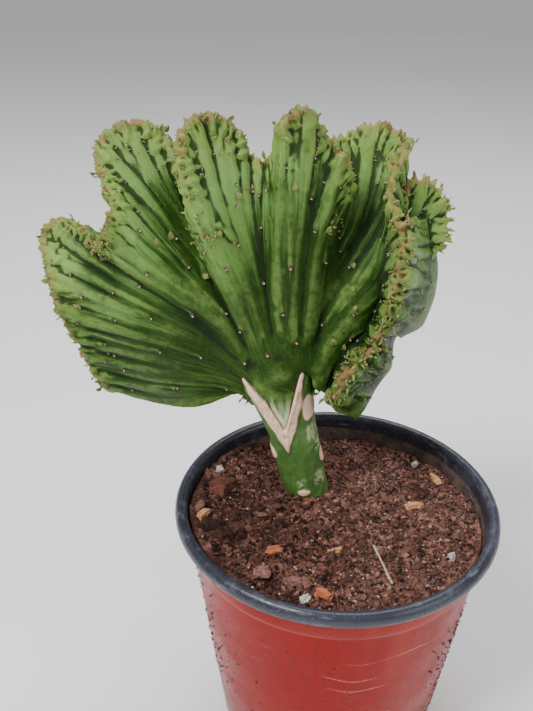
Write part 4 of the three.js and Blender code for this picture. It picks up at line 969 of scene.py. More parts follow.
def soil_material(name="peat", light=0.0):
    m = Mat(name)
    hue = m.attr("hue")
    n = m.noise(420, 5, 0.7)
    col = m.ramp(m.math('ADD', m.math('MULTIPLY', n, 0.62), m.math('MULTIPLY', hue, 0.38)),
                 [(0.26, (0.006, 0.003, 0.002)), (0.40, (0.038, 0.013, 0.008)), (0.52, (0.140, 0.050, 0.034)),
                  (0.64, (0.310, 0.140, 0.102)), (0.80, (0.58, 0.36, 0.29))])
    x, y, z = m.xyz()
    # darker patches towards the left, strongest at the front
    left_front_dark = m.math('MULTIPLY', m.range(x, -0.014, -0.036), m.range(y, 0.034, 0.008, 0.30, 0.72))
    left_front_dark = m.math('MULTIPLY', left_front_dark, m.range(m.noise(85, 4, 0.6), 0.34, 0.60, 1.0, 0.35))
    col = m.mix(left_front_dark, col, (0.016, 0.006, 0.004))
    # the drier side glitters with salts
    dry = m.math('MULTIPLY', m.range(x, -0.012, 0.022), m.range(m.noise(55, 3, 0.5), 0.36, 0.60, 0.15, 1.0))
    spark = m.voronoi(1250, 'F1')
    lit = m.range(spark, 0.26, 0.12, 0.0, 1.0)
    col = m.mix(m.math('MULTIPLY', lit, m.math('MAXIMUM', m.math('MULTIPLY', dry, 0.85), m.range(m.noise(120, 3, 0.5), 0.52, 0.66, 0.0, 0.55))), col, (0.80, 0.62, 0.55))
    col = m.mix(m.math('MULTIPLY', dry, m.range(m.noise(900, 4, 0.7), 0.45, 0.70, 0.0, 0.5)), col, (0.36, 0.20, 0.15))
    m.set(Base_Color=col, Roughness=0.85, Normal=m.bump(m.noise(1400, 4, 0.7), 0.9, 0.0010), Specular_IOR_Level=0.3)
    return m.m


def bark_material(name, a, b, c):
    m = Mat(name)
    hue = m.attr("hue")
    g = m.noise(150, 6, 0.7, vector=m.map((1.0, 5.0, 5.0)))
    col = m.ramp(m.math('ADD', m.math('MULTIPLY', g, 0.75), m.math('MULTIPLY', hue, 0.25)), [(0.22, a), (0.50, b), (0.80, c)])
    col = m.mix(m.range(m.noise(900, 4, 0.7), 0.52, 0.70, 0.0, 0.5), col, (0.045, 0.024, 0.018))
    h = m.math('ADD', g, m.math('MULTIPLY', m.noise(1200, 4, 0.7), 0.4))
    m.set(Base_Color=col, Roughness=0.82, Normal=m.bump(h, 0.8, 0.0009))
    return m.m


def perlite_material():
    m = Mat("perlite")
    v = m.voronoi(1100, 'F1')
    col = m.ramp(m.noise(500, 4, 0.6), [(0.3, (0.36, 0.31, 0.26)), (0.7, (0.66, 0.62, 0.57))])
    col = m.mix(m.range(v, 0.10, 0.30, 0.5, 0.0), col, (0.34, 0.29, 0.25))
    m.set(Base_Color=col, Roughness=0.92, Normal=m.bump(v, 0.9, 0.0006))
    return m.m


def pot_red_material():
    m = Mat("pot_red")
    x, y, z = m.xyz()
    col = m.ramp(m.noise(9, 3, 0.5), [(0.3, (0.250, 0.001, 0.000)), (0.7, (0.305, 0.003, 0.001))])
    # lighter upright bands: partly rubbed dust, partly painted sheen of the glossy wall
    up = m.noise(1.0, 4, 0.55, vector=m.map((38, 38, 3)))
    col = m.mix(m.range(up, 0.50, 0.72, 0.0, 0.50), col, (0.40, 0.034, 0.018))
    lid = m.range(z, 0.1200, 0.1212)
    col = m.mix(m.math('MULTIPLY', lid, m.range(m.noise(26, 4, 0.6), 0.30, 0.60, 0.10, 0.42)), col, (0.42, 0.045, 0.028))
    # thin whitish scratches running part of the way round
    for zc, ph, sway in ((0.1035, 0.6, 0.0042), (0.0915, 1.9, 0.0050), (0.0835, 3.4, 0.0042), (0.0600, 5.0, 0.0050)):
        wob = m.math('MULTIPLY', m.math('SUBTRACT', m.noise(1.0, 2, 0.5, vector=m.map((13 + ph, 13, 0.01))), 0.5), sway * 6)
        off = m.math('ABSOLUTE', m.math('SUBTRACT', m.math('ADD', z, wob), zc))
        part = m.range(m.noise(1.0, 3, 0.6, vector=m.map((20, 20 + ph * 3, 1.0))), 0.45, 0.58, 0.0, 1.0)
        grit = m.range(m.noise(700, 3, 0.7), 0.30, 0.60, 0.25, 1.0)
        line = m.math('MULTIPLY', m.math('MULTIPLY', m.range(off, 0.00042, 0.00006), part), grit)
        col = m.mix(m.math('MULTIPLY', line, 0.70), col, (0.78, 0.36, 0.30))
    band = m.noise(1.0, 6, 0.65, vector=m.map((14, 14, 330)), distortion=0.3)
    where = m.range(m.noise(11, 3, 0.6), 0.46, 0.66, 0.0, 1.0)
    col = m.mix(m.math('MULTIPLY', m.range(band, 0.58, 0.74, 0.0, 0.5), where), col, (0.62, 0.22, 0.17))
    # painted highlight along the moulded step
    step_highlight = m.math('ABSOLUTE', m.math('SUBTRACT', z, 0.1208))
    col = m.mix(m.math('MULTIPLY', m.range(step_highlight, 0.0009, 0.0002), m.range(m.noise(60, 4, 0.6), 0.40, 0.62, 0.0, 0.55)), col, (0.52, 0.11, 0.08))
    # grime
    speck = m.voronoi(420, 'F1')
    many = m.range(m.noise(19, 3, 0.6), 0.50, 0.64, 0.0, 1.0)
    many = m.math('MULTIPLY', many, m.range(z, 0.128, 0.070, 0.25, 1.0))
    flank = m.math('MAXIMUM', m.range(x, 0.036, 0.056), m.range(x, -0.030, -0.052, 0.0, 0.8))
    many = m.math('MAXIMUM', many, m.math('MULTIPLY', flank, m.range(z, 0.112, 0.085)))
    col = m.mix(m.math('MULTIPLY', m.range(speck, 0.34, 0.22), many), col, (0.060, 0.024, 0.016))
    speck2 = m.voronoi(900, 'F1')
    col = m.mix(m.math('MULTIPLY', m.range(speck2, 0.20, 0.10), m.math('MULTIPLY', many, 0.9)), col, (0.30, 0.17, 0.12))
    low = m.math('MULTIPLY', m.range(z, 0.060, 0.0, 0.0, 0.7), m.range(m.noise(40, 5, 0.7), 0.42, 0.60))
    col = m.mix(low, col, (0.13, 0.060, 0.042))
    rough = m.range(m.noise(60, 4, 0.6), 0.3, 0.7, 0.24, 0.42)
    h = m.math('ADD', m.math('MULTIPLY', m.noise(800, 3, 0.6), 0.2), m.math('MULTIPLY', up, 0.8))
    m.set(Base_Color=col, Roughness=rough, Normal=m.bump(h, 0.16, 0.0007), Specular_IOR_Level=0.14)
    return m.m


def pot_black_material():
    m = Mat("pot_black")
    x, y, z = m.xyz()
    col = m.ramp(m.noise(30, 4, 0.6), [(0.3, (0.014, 0.016, 0.026)), (0.7, (0.034, 0.038, 0.058))])
    dust = m.noise(140, 6, 0.75)
    lipm = m.range(z, 0.1315, 0.1330)
    inner = m.math('SUBTRACT', 1.0, lipm)
    col = m.mix(m.math('MULTIPLY', m.range(dust, 0.34, 0.62, 0.20, 0.90), inner), col, (0.175, 0.115, 0.082))
    col = m.mix(m.math('MULTIPLY', m.range(dust, 0.52, 0.78, 0.0, 0.42), lipm), col, (0.24, 0.24, 0.32))
    rub = m.noise(1.0, 5, 0.7, vector=m.map((60, 60, 700)))
    col = m.mix(m.range(rub, 0.58, 0.76, 0.0, 0.50), col, (0.34, 0.34, 0.42))
    fleck = m.range(m.noise(1300, 4, 0.75), 0.60, 0.70, 0.0, 0.8)
    col = m.mix(m.math('MULTIPLY', fleck, m.range(m.noise(45, 3, 0.6), 0.42, 0.62)), col, (0.42, 0.42, 0.48))
    crumb = m.voronoi(480, 'F1')
    many = m.range(m.noise(35, 3, 0.6), 0.48, 0.66, 0.0, 0.95)
    col = m.mix(m.math('MULTIPLY', m.range(crumb, 0.22, 0.10), many), col, (0.110, 0.050, 0.032))
    rough = m.range(dust, 0.4, 0.7, 0.24, 0.52)
    m.set(Base_Color=col, Roughness=rough, Normal=m.bump(m.noise(500, 4, 0.6), 0.25, 0.0006))
    return m.m


# ----------------------------------------------------------------- crest pieces
def noise_rows(n, seed):
    return np.random.default_rng(seed)


def frames(P, D, Nn):
    """(count,3,3) rotation whose columns are side, direction, normal"""
    D = unit(D)
    S = unit(np.cross(D, Nn))
    N2 = np.cross(S, D)
    return np.stack([S, D, N2], -1)


def make_crest():
    sheets, V, F = crest_data()
    srcV, srcF, off = list(V), list(F), sum(len(v) for v in V)
    rings = [neck_ring(z, -0.25, 72) for z in np.linspace(162, 202.6, 50)]
    wedge = boolean(closed_loft("w", rings), prism(0.4), 'INTERSECT')
    wv = np.empty(len(wedge.vertices) * 3, np.float32)
    wedge.vertices.foreach_get("co", wv)
    wedge.calc_loop_triangles()
    wt = np.empty(len(wedge.loop_triangles) * 3, np.int32)
    wedge.loop_triangles.foreach_get("vertices", wt)
    srcV.append(wv.reshape(-1, 3).astype(float) / MM)
    tri = wt.reshape(-1, 3) + off
    hv, hf = ico(4)
    off += len(wv) // 3
    srcV.append(hv * HUB_RADII + HUB_CENTRE)
    srcV.append(hv * np.array([13.0, 8.0, 16.0]) + np.array([-26.0, 18.0, 211.0]))
    srcV.append(hv * np.array([5.5, 5.0, 7.0]) + np.array([-4.5, 24.0, 191.0]))
    src = make_mesh("crest_src", np.concatenate(srcV), [np.concatenate(srcF), np.concatenate([tri, hf + off, hf + off + len(hv), hf + off + 2 * len(hv)])])
    me = remesh(src, 0.56, "crest")
    relax(me, 1, 0.3)
    # the fans run together smoothly where they spring from the graft
    hubv, _ = mesh_arrays(me)
    q = (hubv - np.array([-27.0, 16.0, 208.0])) / np.array([22.0, 16.0, 20.0])
    wt = smooth(1.0, 0.55, np.linalg.norm(q, axis=1)) * smooth(183, 192, hubv[:, 2])
    relax_near(me, wt, 160)
    me = decimate(me, 196000)
    v, n = mesh_arrays(me)
    # curvature at the scale of the ribs: hollows positive, ridges negative
    tmp = me.copy()
    relax(tmp, 14, 0.5)
    vs, _ = mesh_arrays(tmp)
    bpy.data.meshes.remove(tmp)
    cav = np.einsum('ij,ij->i', vs - v, n) / 0.55
    # growth and youth from the nearest fan
    pts, g, yv, lanes, sid = [], [], [], [], []
    for name, sh in sheets.items():
        for S in (sh.F, sh.B):
            p = S[::3, ::3]
            lanes.append(np.broadcast_to((sh.A[::3, -1] + 400.0 * sh.look['seed'])[:, None], p.shape[:2]).ravel())
            sid.append(np.full(p.shape[0] * p.shape[1], sh.look['seed']))
            pts.append(p.reshape(-1, 3))
            g.append(np.broadcast_to(sh.ss[::3][None], p.shape[:2]).ravel())
            yv.append(np.full(p.shape[0] * p.shape[1], sh.look['young']))
    pts, g, yv = np.concatenate(pts), np.concatenate(g), np.concatenate(yv)
    kd = KDTree(len(pts))
    for i, p in enumerate(pts):
        kd.insert(p, i)
    kd.balance()
    lanes, sid = np.concatenate(lanes), np.concatenate(sid)
    found = [kd.find_n(p, 5) for p in v]
    ids = np.array([[q[1] for q in f] for f in found])
    wts = 1.0 / (np.array([[q[2] for q in f] for f in found]) + 0.15) ** 2
    near = ids[:, 0]
    wts = wts * (sid[ids] == sid[near][:, None]) * (np.abs(lanes[ids] - lanes[near][:, None]) < 9)
    wts /= wts.sum(1, keepdims=True)
    grow, young, lane = (g[ids] * wts).sum(1), yv[near].copy(), (lanes[ids] * wts).sum(1)
    # lobes are yellower along their middles; their folded margins are darker, which is painted shade in the folds
    for (cx, cz, r, add) in YOUTH_AND_FOLD_SHADE_SPOTS:
        d2 = ((v[:, 0] - cx) ** 2 + (v[:, 2] - cz) ** 2) / r ** 2
        young = young + add * np.exp(-d2)
    # two strokes of whitish tissue running up from the bottom of the cut
    def stroke(ax, az, bx, bz, wide):
        ux, uz = bx - ax, bz - az
        t = np.clip(((v[:, 0] - ax) * ux + (v[:, 2] - az) * uz) / (ux * ux + uz * uz), 0, 1)
        d = np.hypot(v[:, 0] - ax - t * ux, v[:, 2] - az - t * uz)
        w = wide * (1 - 0.75 * t ** 2)
        return smooth(w + 0.5, w - 0.3, d)
    graft = np.maximum(stroke(-25.5, 173.0, -31.9, 186.8, 2.0), stroke(-25.2, 173.0, -24.0, 187.2, 1.7))
    graft = graft * (v[:, 1] < STEM_Y) * (v[:, 2] < 190)
    me2 = me
    set_attr(me2, "grow", grow)
    set_attr(me2, "cav", cav)
    set_attr(me2, "lane", lane)
    set_attr(me2, "young", np.clip(young, 0, 1.2))
    set_attr(me2, "graft", graft)
    me2.name = "crest_skin"
    ob = add_object("crest_skin", me2, crest_material())
    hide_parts("crest_fan")
    print("crest", len(me2.vertices), len(me2.polygons))
    return sheets, v, n


def rib_ends(sheets):
    """rim ends and starts of all ribs: position, outward, normal, sheet, side, strength"""
    ends, starts = [], []
    for name, sh in sheets.items():
        for side, ribs, S in ((1, sh.ribs_f, sh.F), (-1, sh.ribs_b, sh.B)):
            for rib in ribs:
                total = np.linalg.norm(np.diff(rib['Q'], axis=0), axis=1).sum()
                if rib['whole']:
                    i, j = min(int(round(rib['I'][-1])), len(sh.ks) - 1), len(sh.ss) - 4
                    ends.append((S[i, j], sh.square[i], sh.N[i, -1] * side, name, side, rib['a'], total))
                i = min(int(round(rib['I'][0])), len(sh.ks) - 1)
                j = min(int(round(rib['J'][0])), len(sh.ss) - 1)
                s0 = rib['J'][0] / (len(sh.ss) - 1)
                v = unit(rib['Q'][min(3, len(rib['Q']) - 1)] - rib['Q'][0])
                if total > 7 and (rib['given'] or s0 > 0.12):
                    starts.append((S[i, j], v, sh.N[i, j] * side, name, side, rib['a'], s0, rib['given'], total))
    return ends, starts


def make_details(sheets, cv, cn):
    from mathutils.bvhtree import BVHTree
    rs = np.random.default_rng(5)
    ob = bpy.data.objects["crest_skin"]
    dg = bpy.context.evaluated_depsgraph_get()
    bvh = BVHTree.FromObject(ob, dg)
    ends, starts = rib_ends(sheets)

    def on_skin(p, reach=1.6):
        loc, nor, _, dist = bvh.find_nearest(Vector(p * MM))
        if loc is None or dist > reach * MM:
            return None
        return np.array(loc) / MM, np.array(nor)

    # areoles at the start of every rib
    bv, bf = ico(1)
    A, hue = [], []
    leafs, teeth = [], []
    for p, v, n, name, side, a, s0, given, total in starts:
        hit = on_skin(p, 2.2)
        if hit is None or (total < 10 and rs.random() < 0.5):
            continue
        q, nn = hit
        r = (1.02 if given else 0.70) * (0.8 + 0.35 * rs.random()) * (1.1 - 0.3 * s0)
        vv = unit(v - nn * np.dot(v, nn))
        R = frames(q, vv, nn)
        A.append(np.concatenate([R * np.array([r * 0.85, r, r * 0.8]), (q + nn * r * 0.25 - vv * 0.5)[:, None]], 1))
        hue.append(rs.random() * 0.6)
        # a paler felted tip, and two very small spines
        A.append(np.concatenate([R * np.array([r * 0.42, r * 0.42, r * 0.4]), (q + nn * r * 0.95 - vv * (0.5 + 0.2 * r) + R[:, 0] * 0.2 * r)[:, None]], 1))
        hue.append(2.0)
        for sgn in (-1, 1):
            ax = unit(nn * 0.9 + R[:, 0] * sgn * 0.55 - vv * 0.3)
            R2 = frames(q, ax, vv)
            A.append(np.concatenate([R2 * np.array([0.11, 0.38, 0.11]), (q + ax * 0.95 - vv * 0.4)[:, None]], 1))
            hue.append(1.3)
        if rs.random() < (0.10 if 0.4 < s0 < 0.85 else 0.03):
            leafs.append((q + nn * 0.25, unit(v * 0.8 + nn * (0.25 + 0.4 * rs.random()) + R[:, 0] * rs.normal(0, 0.35)), nn,
                          2.0 + 1.0 * rs.random(), 0.2 + 0.4 * rs.random()))
    A = np.array(A)
    v, f = scatter(bv, bf, A)
    me = make_mesh("crest_areoles", v, f)
    tipv = np.clip(bv[:, 2] * 0.5 + 0.5, 0, 1)
    set_attr(me, "tip", np.tile(tipv, len(A)))
    set_attr(me, "hue", np.repeat(hue, len(bv)))
    add_object("crest_areoles", me, areole_material())

    # teeth and leaflets along the growing rim
    for p, v, n, name, side, a, ln in ends:
        hit = on_skin(p, 2.4)
        if hit is None:
            continue
        q, nn = hit
        yng = LOOK[name]['young']
        d = unit(v + n * (0.35 + 0.35 * rs.random()) + np.cross(v, n) * rs.normal(0, 0.25))
        big = name in ('right', 'r2', 'r3', 'r4')
        ln = (0.9 + 0.8 * rs.random()) * (1.55 if big else 1.0)
        teeth.append((q - n * 0.2 + v * 0.2, d, nn, ln, 0.50 + 0.22 * rs.random() + 0.18 * big, min(1, yng * 0.5 + 0.5 * rs.random())))
        if rs.random() < (0.30 if name in ('left', 'centre', 'back_left', 'back_right') else 0.16):
            dl = unit(v * (0.5 + rs.random()) + n * (0.3 + 0.7 * rs.random()) + np.cross(v, n) * rs.normal(0, 0.5))
            leafs.append((q + d * ln * 0.7, dl, unit(n + 0.3 * rs.normal(size=3)), 1.9 + 1.9 * rs.random() ** 2, 0.25 + 0.6 * rs.random()))

    def from_eye(x, z):
        o = EYE * MM
        t = np.array([x, STEM_Y, z]) * MM
        d = unit(t - o)
        loc, nor, _, _ = bvh.ray_cast(Vector(o), Vector(d))
        if loc is None:
            loc, nor, _, dist = bvh.find_nearest(Vector(t))
        return np.array(loc) / MM, np.array(nor)

    # crowded tufts where rims fold together
    for x, z, spread, count, size in TUFTS:
        for _ in range(count):
            p, nn = from_eye(x + rs.normal(0, spread), z + rs.normal(0, spread))
            d = unit(nn * 0.7 + rs.normal(0, 0.6, 3) + np.array([0, -0.3, 0.3]))
            if rs.random() < 0.55:
                leafs.append((p, d, unit(rs.normal(size=3)), size * (0.7 + 0.7 * rs.random()), 0.2 + 0.8 * rs.random()))
            else:
                teeth.append((p, d, nn, 1.0 + 0.8 * rs.random(), 0.55 + 0.3 * rs.random(), rs.random()))

    # single larger leaflets
    for x, z, ln, dx, dz in LEAVES:
        p, nn = from_eye(x, z)
        d = unit(np.array([dx, -0.25, dz]))
        leafs.append((p + nn * 0.2, d, unit(nn + np.array([0, -0.6, 0])), ln, 0.55 + 0.35 * rs.random()))

    bv2, bf2 = ico(1)
    M, hue = [], []
    for p, d, n, ln, wd, h in teeth:
        R = frames(p, d, n)
        M.append(np.concatenate([R * np.array([wd, ln, wd]), (p + d * ln * 0.35)[:, None]], 1))
        hue.append(h)
    taper = bv2.copy()
    taper[:, [0, 2]] *= (1.0 - 0.72 * smooth(-0.8, 1.0, bv2[:, 1]))[:, None]
    v, f = scatter(taper, bf2, np.array(M))
    me = make_mesh("crest_teeth", v, f)
    set_attr(me, "tip", np.tile(bv2[:, 1] * 0.5 + 0.5, len(M)))
    set_attr(me, "hue", np.repeat(hue, len(bv2)))
    add_object("crest_teeth", me, tooth_material())

    # an ovate, slightly cupped leaflet on a short stalk
    lv, lf = ico(2)
    y = lv[:, 1] * 0.5 + 0.5
    shape = lv.copy()
    wid = np.sin(np.pi * np.clip(y, 0, 1) ** 0.8) ** 0.8 * 0.9 + 0.14
    r = np.hypot(lv[:, 0], lv[:, 2]) + 1e-6
    shape[:, 0] = lv[:, 0] / r * wid * np.minimum(r / np.sqrt(np.clip(1 - lv[:, 1] ** 2, 1e-4, 1)), 1)
    shape[:, 0][r < 2e-6] = 0
    shape[:, 2] = lv[:, 2] * 0.16 + 0.22 * shape[:, 0] ** 2 - 0.35 * (y - 0.3) ** 2
    shape[:, 1] = y * 2
    M, hue = [], []
    for p, d, n, ln, h in leafs:
        R = frames(p, d, n)
        w = ln * (0.26 + 0.10 * rs.random())
        M.append(np.concatenate([R * np.array([w, ln / 2, ln * 0.55]), p[:, None]], 1))
        hue.append(h)
    v, f = scatter(shape, lf, np.array(M))
    me = make_mesh("crest_leaflets", v, f)
    set_attr(me, "tip", np.tile(y, len(M)))
    set_attr(me, "hue", np.repeat(hue, len(lv)))
    add_object("crest_leaflets", me, leaf_material())
    print("areoles", len(A), "teeth", len(teeth), "leaflets", len(leafs))


# ------------------------------------------------------------------------ stem
def make_stem():
    rings = []
    zs = np.linspace(86, 203, 190)
    for z in zs:
        ring = neck_ring(z, 0.0, 128)
        c = np.array([np.interp(z, STEM[:, 0], STEM[:, 1]), STEM_Y, z])
        side = cut_side(ring[:, 0], ring[:, 2])
        raised = 1.0 * smooth(-5.6, -3.6, side) + 0.7 * smooth(-1.6, -0.3, side)
        out = unit((ring - c) * np.array([1, 1, 0]))
        lump = np.array([noise.noise(Vector(p * 0.09)) for p in ring]) * 0.5 + np.array([noise.noise(Vector(p * 0.35)) for p in ring]) * 0.22
        front = ring[:, 1] < STEM_Y
        wob = np.array([noise.noise(Vector(p * 0.5 + 9)) for p in ring]) * 0.45 * smooth(-5.6, -3.0, side)
        for (sx, sz, ax, az, dep) in SCARS:
            q = ((ring[:, 0] - sx) / ax) ** 2 + ((z - sz) / az) ** 2
            raised = raised + np.where(front, dep * smooth(1.3, 0.8, q), 0)
        rings.append(ring + out * (raised + lump + wob)[:, None])
    body = closed_loft("stem", rings)
    me = boolean(body, prism(0.0), 'DIFFERENCE')
    me = remesh(me, 0.55, "stem")
    relax(me, 2, 0.4)
    v, n = mesh_arrays(me)
    side = cut_side(v[:, 0], v[:, 2])
    jit = np.array([noise.noise(Vector(p * 0.22)) for p in v]) * 1.6
    left = v[:, 0] < -25
    width = 4.5 + 1.1 * smooth(165, 176, v[:, 2]) * left - 3.4 * smooth(184, 197, v[:, 2]) * left - 2.6 * smooth(184, 202, v[:, 2]) * ~left
    width = np.maximum(width, 0.8)
    cal = smooth(-(width + 0.35), -(width - 0.35), side + jit * 0.45)
    scar = np.zeros(len(v))
    for (sx, sz, ax, az, dep) in SCARS:
        q = ((v[:, 0] - sx + 0.5 * jit) / ax) ** 2 + ((v[:, 2] - sz) / az) ** 2
        scar = np.maximum(scar, smooth(1.12, 0.92, q + 0.12 * jit) * (v[:, 1] < STEM_Y + 3))
    pale = np.zeros(len(v))
    for (sx, sz, ax, az) in PALE_STEM:
        q = ((v[:, 0] - sx) / ax) ** 2 + ((v[:, 2] - sz) / az) ** 2
        pale = np.maximum(pale, smooth(1.6, 0.5, q) * (v[:, 1] < STEM_Y + 3))
    set_attr(me, "callus", cal)
    set_attr(me, "scar", scar)
    set_attr(me, "pale", pale)
    ob = add_object("stem_skin", me, stem_material())
    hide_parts("rootstock_stem")


# ------------------------------------------------------------------------ soil
def soil_height(x, y):
    r = np.hypot(x, y)
    bumps = 0.9 * np.sin(x * 0.11 + 1.3) * np.cos(y * 0.13 - 0.4) + 0.6 * np.sin(x * 0.21 - y * 0.17 + 2.1)
    bank = 1.4 * np.maximum(0, (r - 50) / 22) * np.where(y < 0, 1, 0.2)
    heap = 5.2 * smooth(16, 66, -x)
    mound = 3.6 * np.exp(-((x + 13.6) ** 2 + (y - STEM_Y) ** 2) / 300)
    return SOIL_Z - 0.012 * x - 0.035 * y + bumps + bank + heap + mound


def pot_radius(z):
    return WALL_BASE_RADIUS + (WALL_TOP_RADIUS - WALL_BASE_RADIUS) * z / (POT_HEIGHT - LIP_DROP)


def soil_fine(x, y):
    out = soil_height(x, y) + 2.2 * np.exp(-((x + 13.6) ** 2 + (y - STEM_Y) ** 2) / 210)
    pts = np.stack([x, y, np.zeros_like(x)], -1)
    out = out + 0.85 * fbm(pts, 0.16, 2, 3.0) + 0.75 * np.abs(fbm(pts, 0.45, 2, 11.0)) - 0.35
    return out


def make_soil():
    rs = np.random.default_rng(21)
    seg, nr = 300, 84
    a = np.arange(seg) / seg * 2 * np.pi
    rr = np.linspace(1.5, 69.4, nr)
    R, Aa = np.meshgrid(rr, a, indexing='ij')
    x, y = (R * np.cos(Aa)).ravel(), (R * np.sin(Aa)).ravel()
    z = soil_fine(x, y)
    # spread the last rows out to the wall, which leans outwards
    reach = np.minimum(pot_radius(z) - WALL - 0.5, 71.1)
    k = 1 + (reach / 69.4 - 1) * smooth(60.0, 69.4, R.ravel())
    x, y = x * k, y * k
    top = np.stack([x, y, z], -1).reshape(nr, seg, 3)
    rings = [np.stack([50.0 * np.cos(a), 50.0 * np.sin(a), np.full(seg, 3.8)], -1),
             np.stack([(pot_radius(7) - WALL - 0.6) * np.cos(a), (pot_radius(7) - WALL - 0.6) * np.sin(a), np.full(seg, 7.0)], -1),
             np.stack([(pot_radius(60) - WALL - 0.6) * np.cos(a), (pot_radius(60) - WALL - 0.6) * np.sin(a), np.full(seg, 60.0)], -1),
             np.stack([69.0 * np.cos(a), 69.0 * np.sin(a), np.full(seg, 119.0)], -1)]
    rings += [top[i] for i in range(nr - 1, -1, -1)]
    body = closed_loft("soil", rings)
    hole = closed_loft("hole", [neck_ring(zz, 0.3, 64) for zz in np.linspace(85.6, 150, 20)])
    me = boolean(body, hole, 'DIFFERENCE')
    me.polygons.foreach_set("use_smooth", np.full(len(me.polygons), True))
    v, _ = mesh_arrays(me)
    set_attr(me, "hue", 0.5 + 0.35 * fbm(v, 0.12, 2, 5.0))
    mat = soil_material()
    ob = add_object("soil_bed", me, mat)
    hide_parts("potting_soil")

    def spots(n, rmax=68.3):
        out = []
        while len(out) < n:
            p = rs.uniform(-rmax, rmax, 2)
            if np.hypot(*p) > rmax:
                continue
            if ((p[0] + 13.6) / 12.0) ** 2 + ((p[1] - STEM_Y) / 11.8) ** 2 < 1:
                continue
            out.append(p)
        return np.array(out)

    def turn(n):
        q = unit(rs.normal(size=(n, 4)))
        w, x, y, z = q.T
        return np.stack([np.stack([1 - 2 * (y * y + z * z), 2 * (x * y - z * w), 2 * (x * z + y * w)], -1),
                         np.stack([2 * (x * y + z * w), 1 - 2 * (x * x + z * z), 2 * (y * z - x * w)], -1),
                         np.stack([2 * (x * z - y * w), 2 * (y * z + x * w), 1 - 2 * (x * x + y * y)], -1)], 1)

    def crumbs(name, n, size, flat, mat, hue, level=0, rough=0.28, lift=0.2, rmax=68.3):
        p = spots(n, rmax)
        s = size(n)
        z = soil_fine(p[:, 0], p[:, 1])
        # nothing stands through the wall
        bv, bf = ico(level)
        kinds = []
        for k in range(6):
            b = bv * (1 + rough * rs.normal(size=(len(bv), 1)))
            kinds.append(b)
        T = turn(n)
        if flat:
            tilt = rs.normal(0, 0.28, (n, 2))
            az = rs.uniform(0, 2 * np.pi, n)
            c, s_ = np.cos(az), np.sin(az)
            T = np.zeros((n, 3, 3))
            T[:, 0, 0], T[:, 0, 1], T[:, 1, 0], T[:, 1, 1], T[:, 2, 2] = c, -s_, s_, c, 1
            T[:, 2, 0], T[:, 2, 1] = tilt[:, 0], tilt[:, 1]
        V, F, H, off = [], [], [], 0
        for k in range(6):
            m = np.arange(n) % 6 == k
            if not m.any():
                continue
            sc = s[m]
            M = np.concatenate([T[m] * sc[:, None, :], np.stack([p[m, 0], p[m, 1], z[m] + sc.min(1) * lift], -1)[:, :, None]], 2)
            v, f = scatter(kinds[k], bf, M)
            # keep inside the pot
            r = np.hypot(v[:, 0], v[:, 1])
            lim = pot_radius(v[:, 2]) - WALL - 0.5
            kf = np.minimum(1, lim / np.maximum(r, 1e-6))
            v[:, 0] *= kf
            v[:, 1] *= kf
            V.append(v)
            F.append(f + off)
            off += len(v)
            H.append(np.repeat(hue(m.sum()), len(bv)))
        me = make_mesh(name, np.concatenate(V), np.concatenate(F), smooth_shade=level > 0)
        set_attr(me, "hue", np.concatenate(H))
        return add_object(name, me, mat)

    def sz(lo, hi, ax, ay, az, power=2.0):
        def f(n):
            b = lo + (hi - lo) * rs.random(n) ** power
            return np.stack([b * (ax + 0.3 * rs.random(n)), b * (ay + 0.3 * rs.random(n)), b * az * (0.8 + 0.4 * rs.random(n))], -1)
        return f

    crumbs("soil_crumbs", 7600, sz(0.30, 1.7, 0.9, 0.7, 0.65, 2.6), False, mat, lambda n: rs.random(n) ** 1.4)
    # clods of dark peat lying where the mix is coarsest
    cv, cf = ico(3)
    V, F, H, off = [], [], [], 0
    for i in range(46):
        if i < 26:
            p = np.array([-44.0, -28.0]) + rs.normal(0, 1, 2) * np.array([9.0, 15.0])
        else:
            p = spots(1, 62)[0]
        if np.hypot(*p) > 64 or ((p[0] + 13.6) / 15.0) ** 2 + ((p[1] - STEM_Y) / 15.0) ** 2 < 1:
            continue
        r = (2.0 + 3.2 * rs.random() ** 1.5) * (1.0 if i < 26 else 0.7)
        o = rs.random() * 90
        rough = np.array([noise.noise(Vector(q * 1.7 + o)) + 0.6 * noise.noise(Vector(q * 4.3 + o)) + 0.35 * noise.noise(Vector(q * 9.0 + o)) for q in cv])
        q = cv * (1 + 0.42 * rough)[:, None] * r * np.array([1.15, 0.9, 0.75])
        c, s_ = math.cos(o), math.sin(o)
        q = np.stack([q[:, 0] * c - q[:, 1] * s_, q[:, 0] * s_ + q[:, 1] * c, q[:, 2]], -1)
        zc = float(soil_fine(np.array([p[0]]), np.array([p[1]]))[0])
        V.append(q + np.array([p[0], p[1], zc + 0.15 * r]))
        F.append(cf + off)
        off += len(cv)
        H.append(np.clip(0.12 + 0.50 * rs.random() + 0.30 * rough, 0, 1))
    me = make_mesh("peat_clods", np.concatenate(V), np.concatenate(F))
    set_attr(me, "hue", np.concatenate(H))
    add_object("peat_clods", me, mat)
    bark = bark_material("bark_bits", (0.020, 0.007, 0.004), (0.110, 0.040, 0.024), (0.30, 0.140, 0.095))
    crumbs("bark_crumbs", 420, sz(0.7, 3.4, 1.25, 0.55, 0.32, 3.0), True, bark, lambda n: rs.random(n) ** 1.5, 1, 0.24)
    pale = bark_material("pale_bits", (0.26, 0.16, 0.12), (0.50, 0.36, 0.29), (0.70, 0.58, 0.50))
    crumbs("pale_flecks", 900, sz(0.16, 0.62, 1.0, 0.7, 0.6, 2.4), True, pale, lambda n: rs.random(n), 0, 0.2, 1.2)

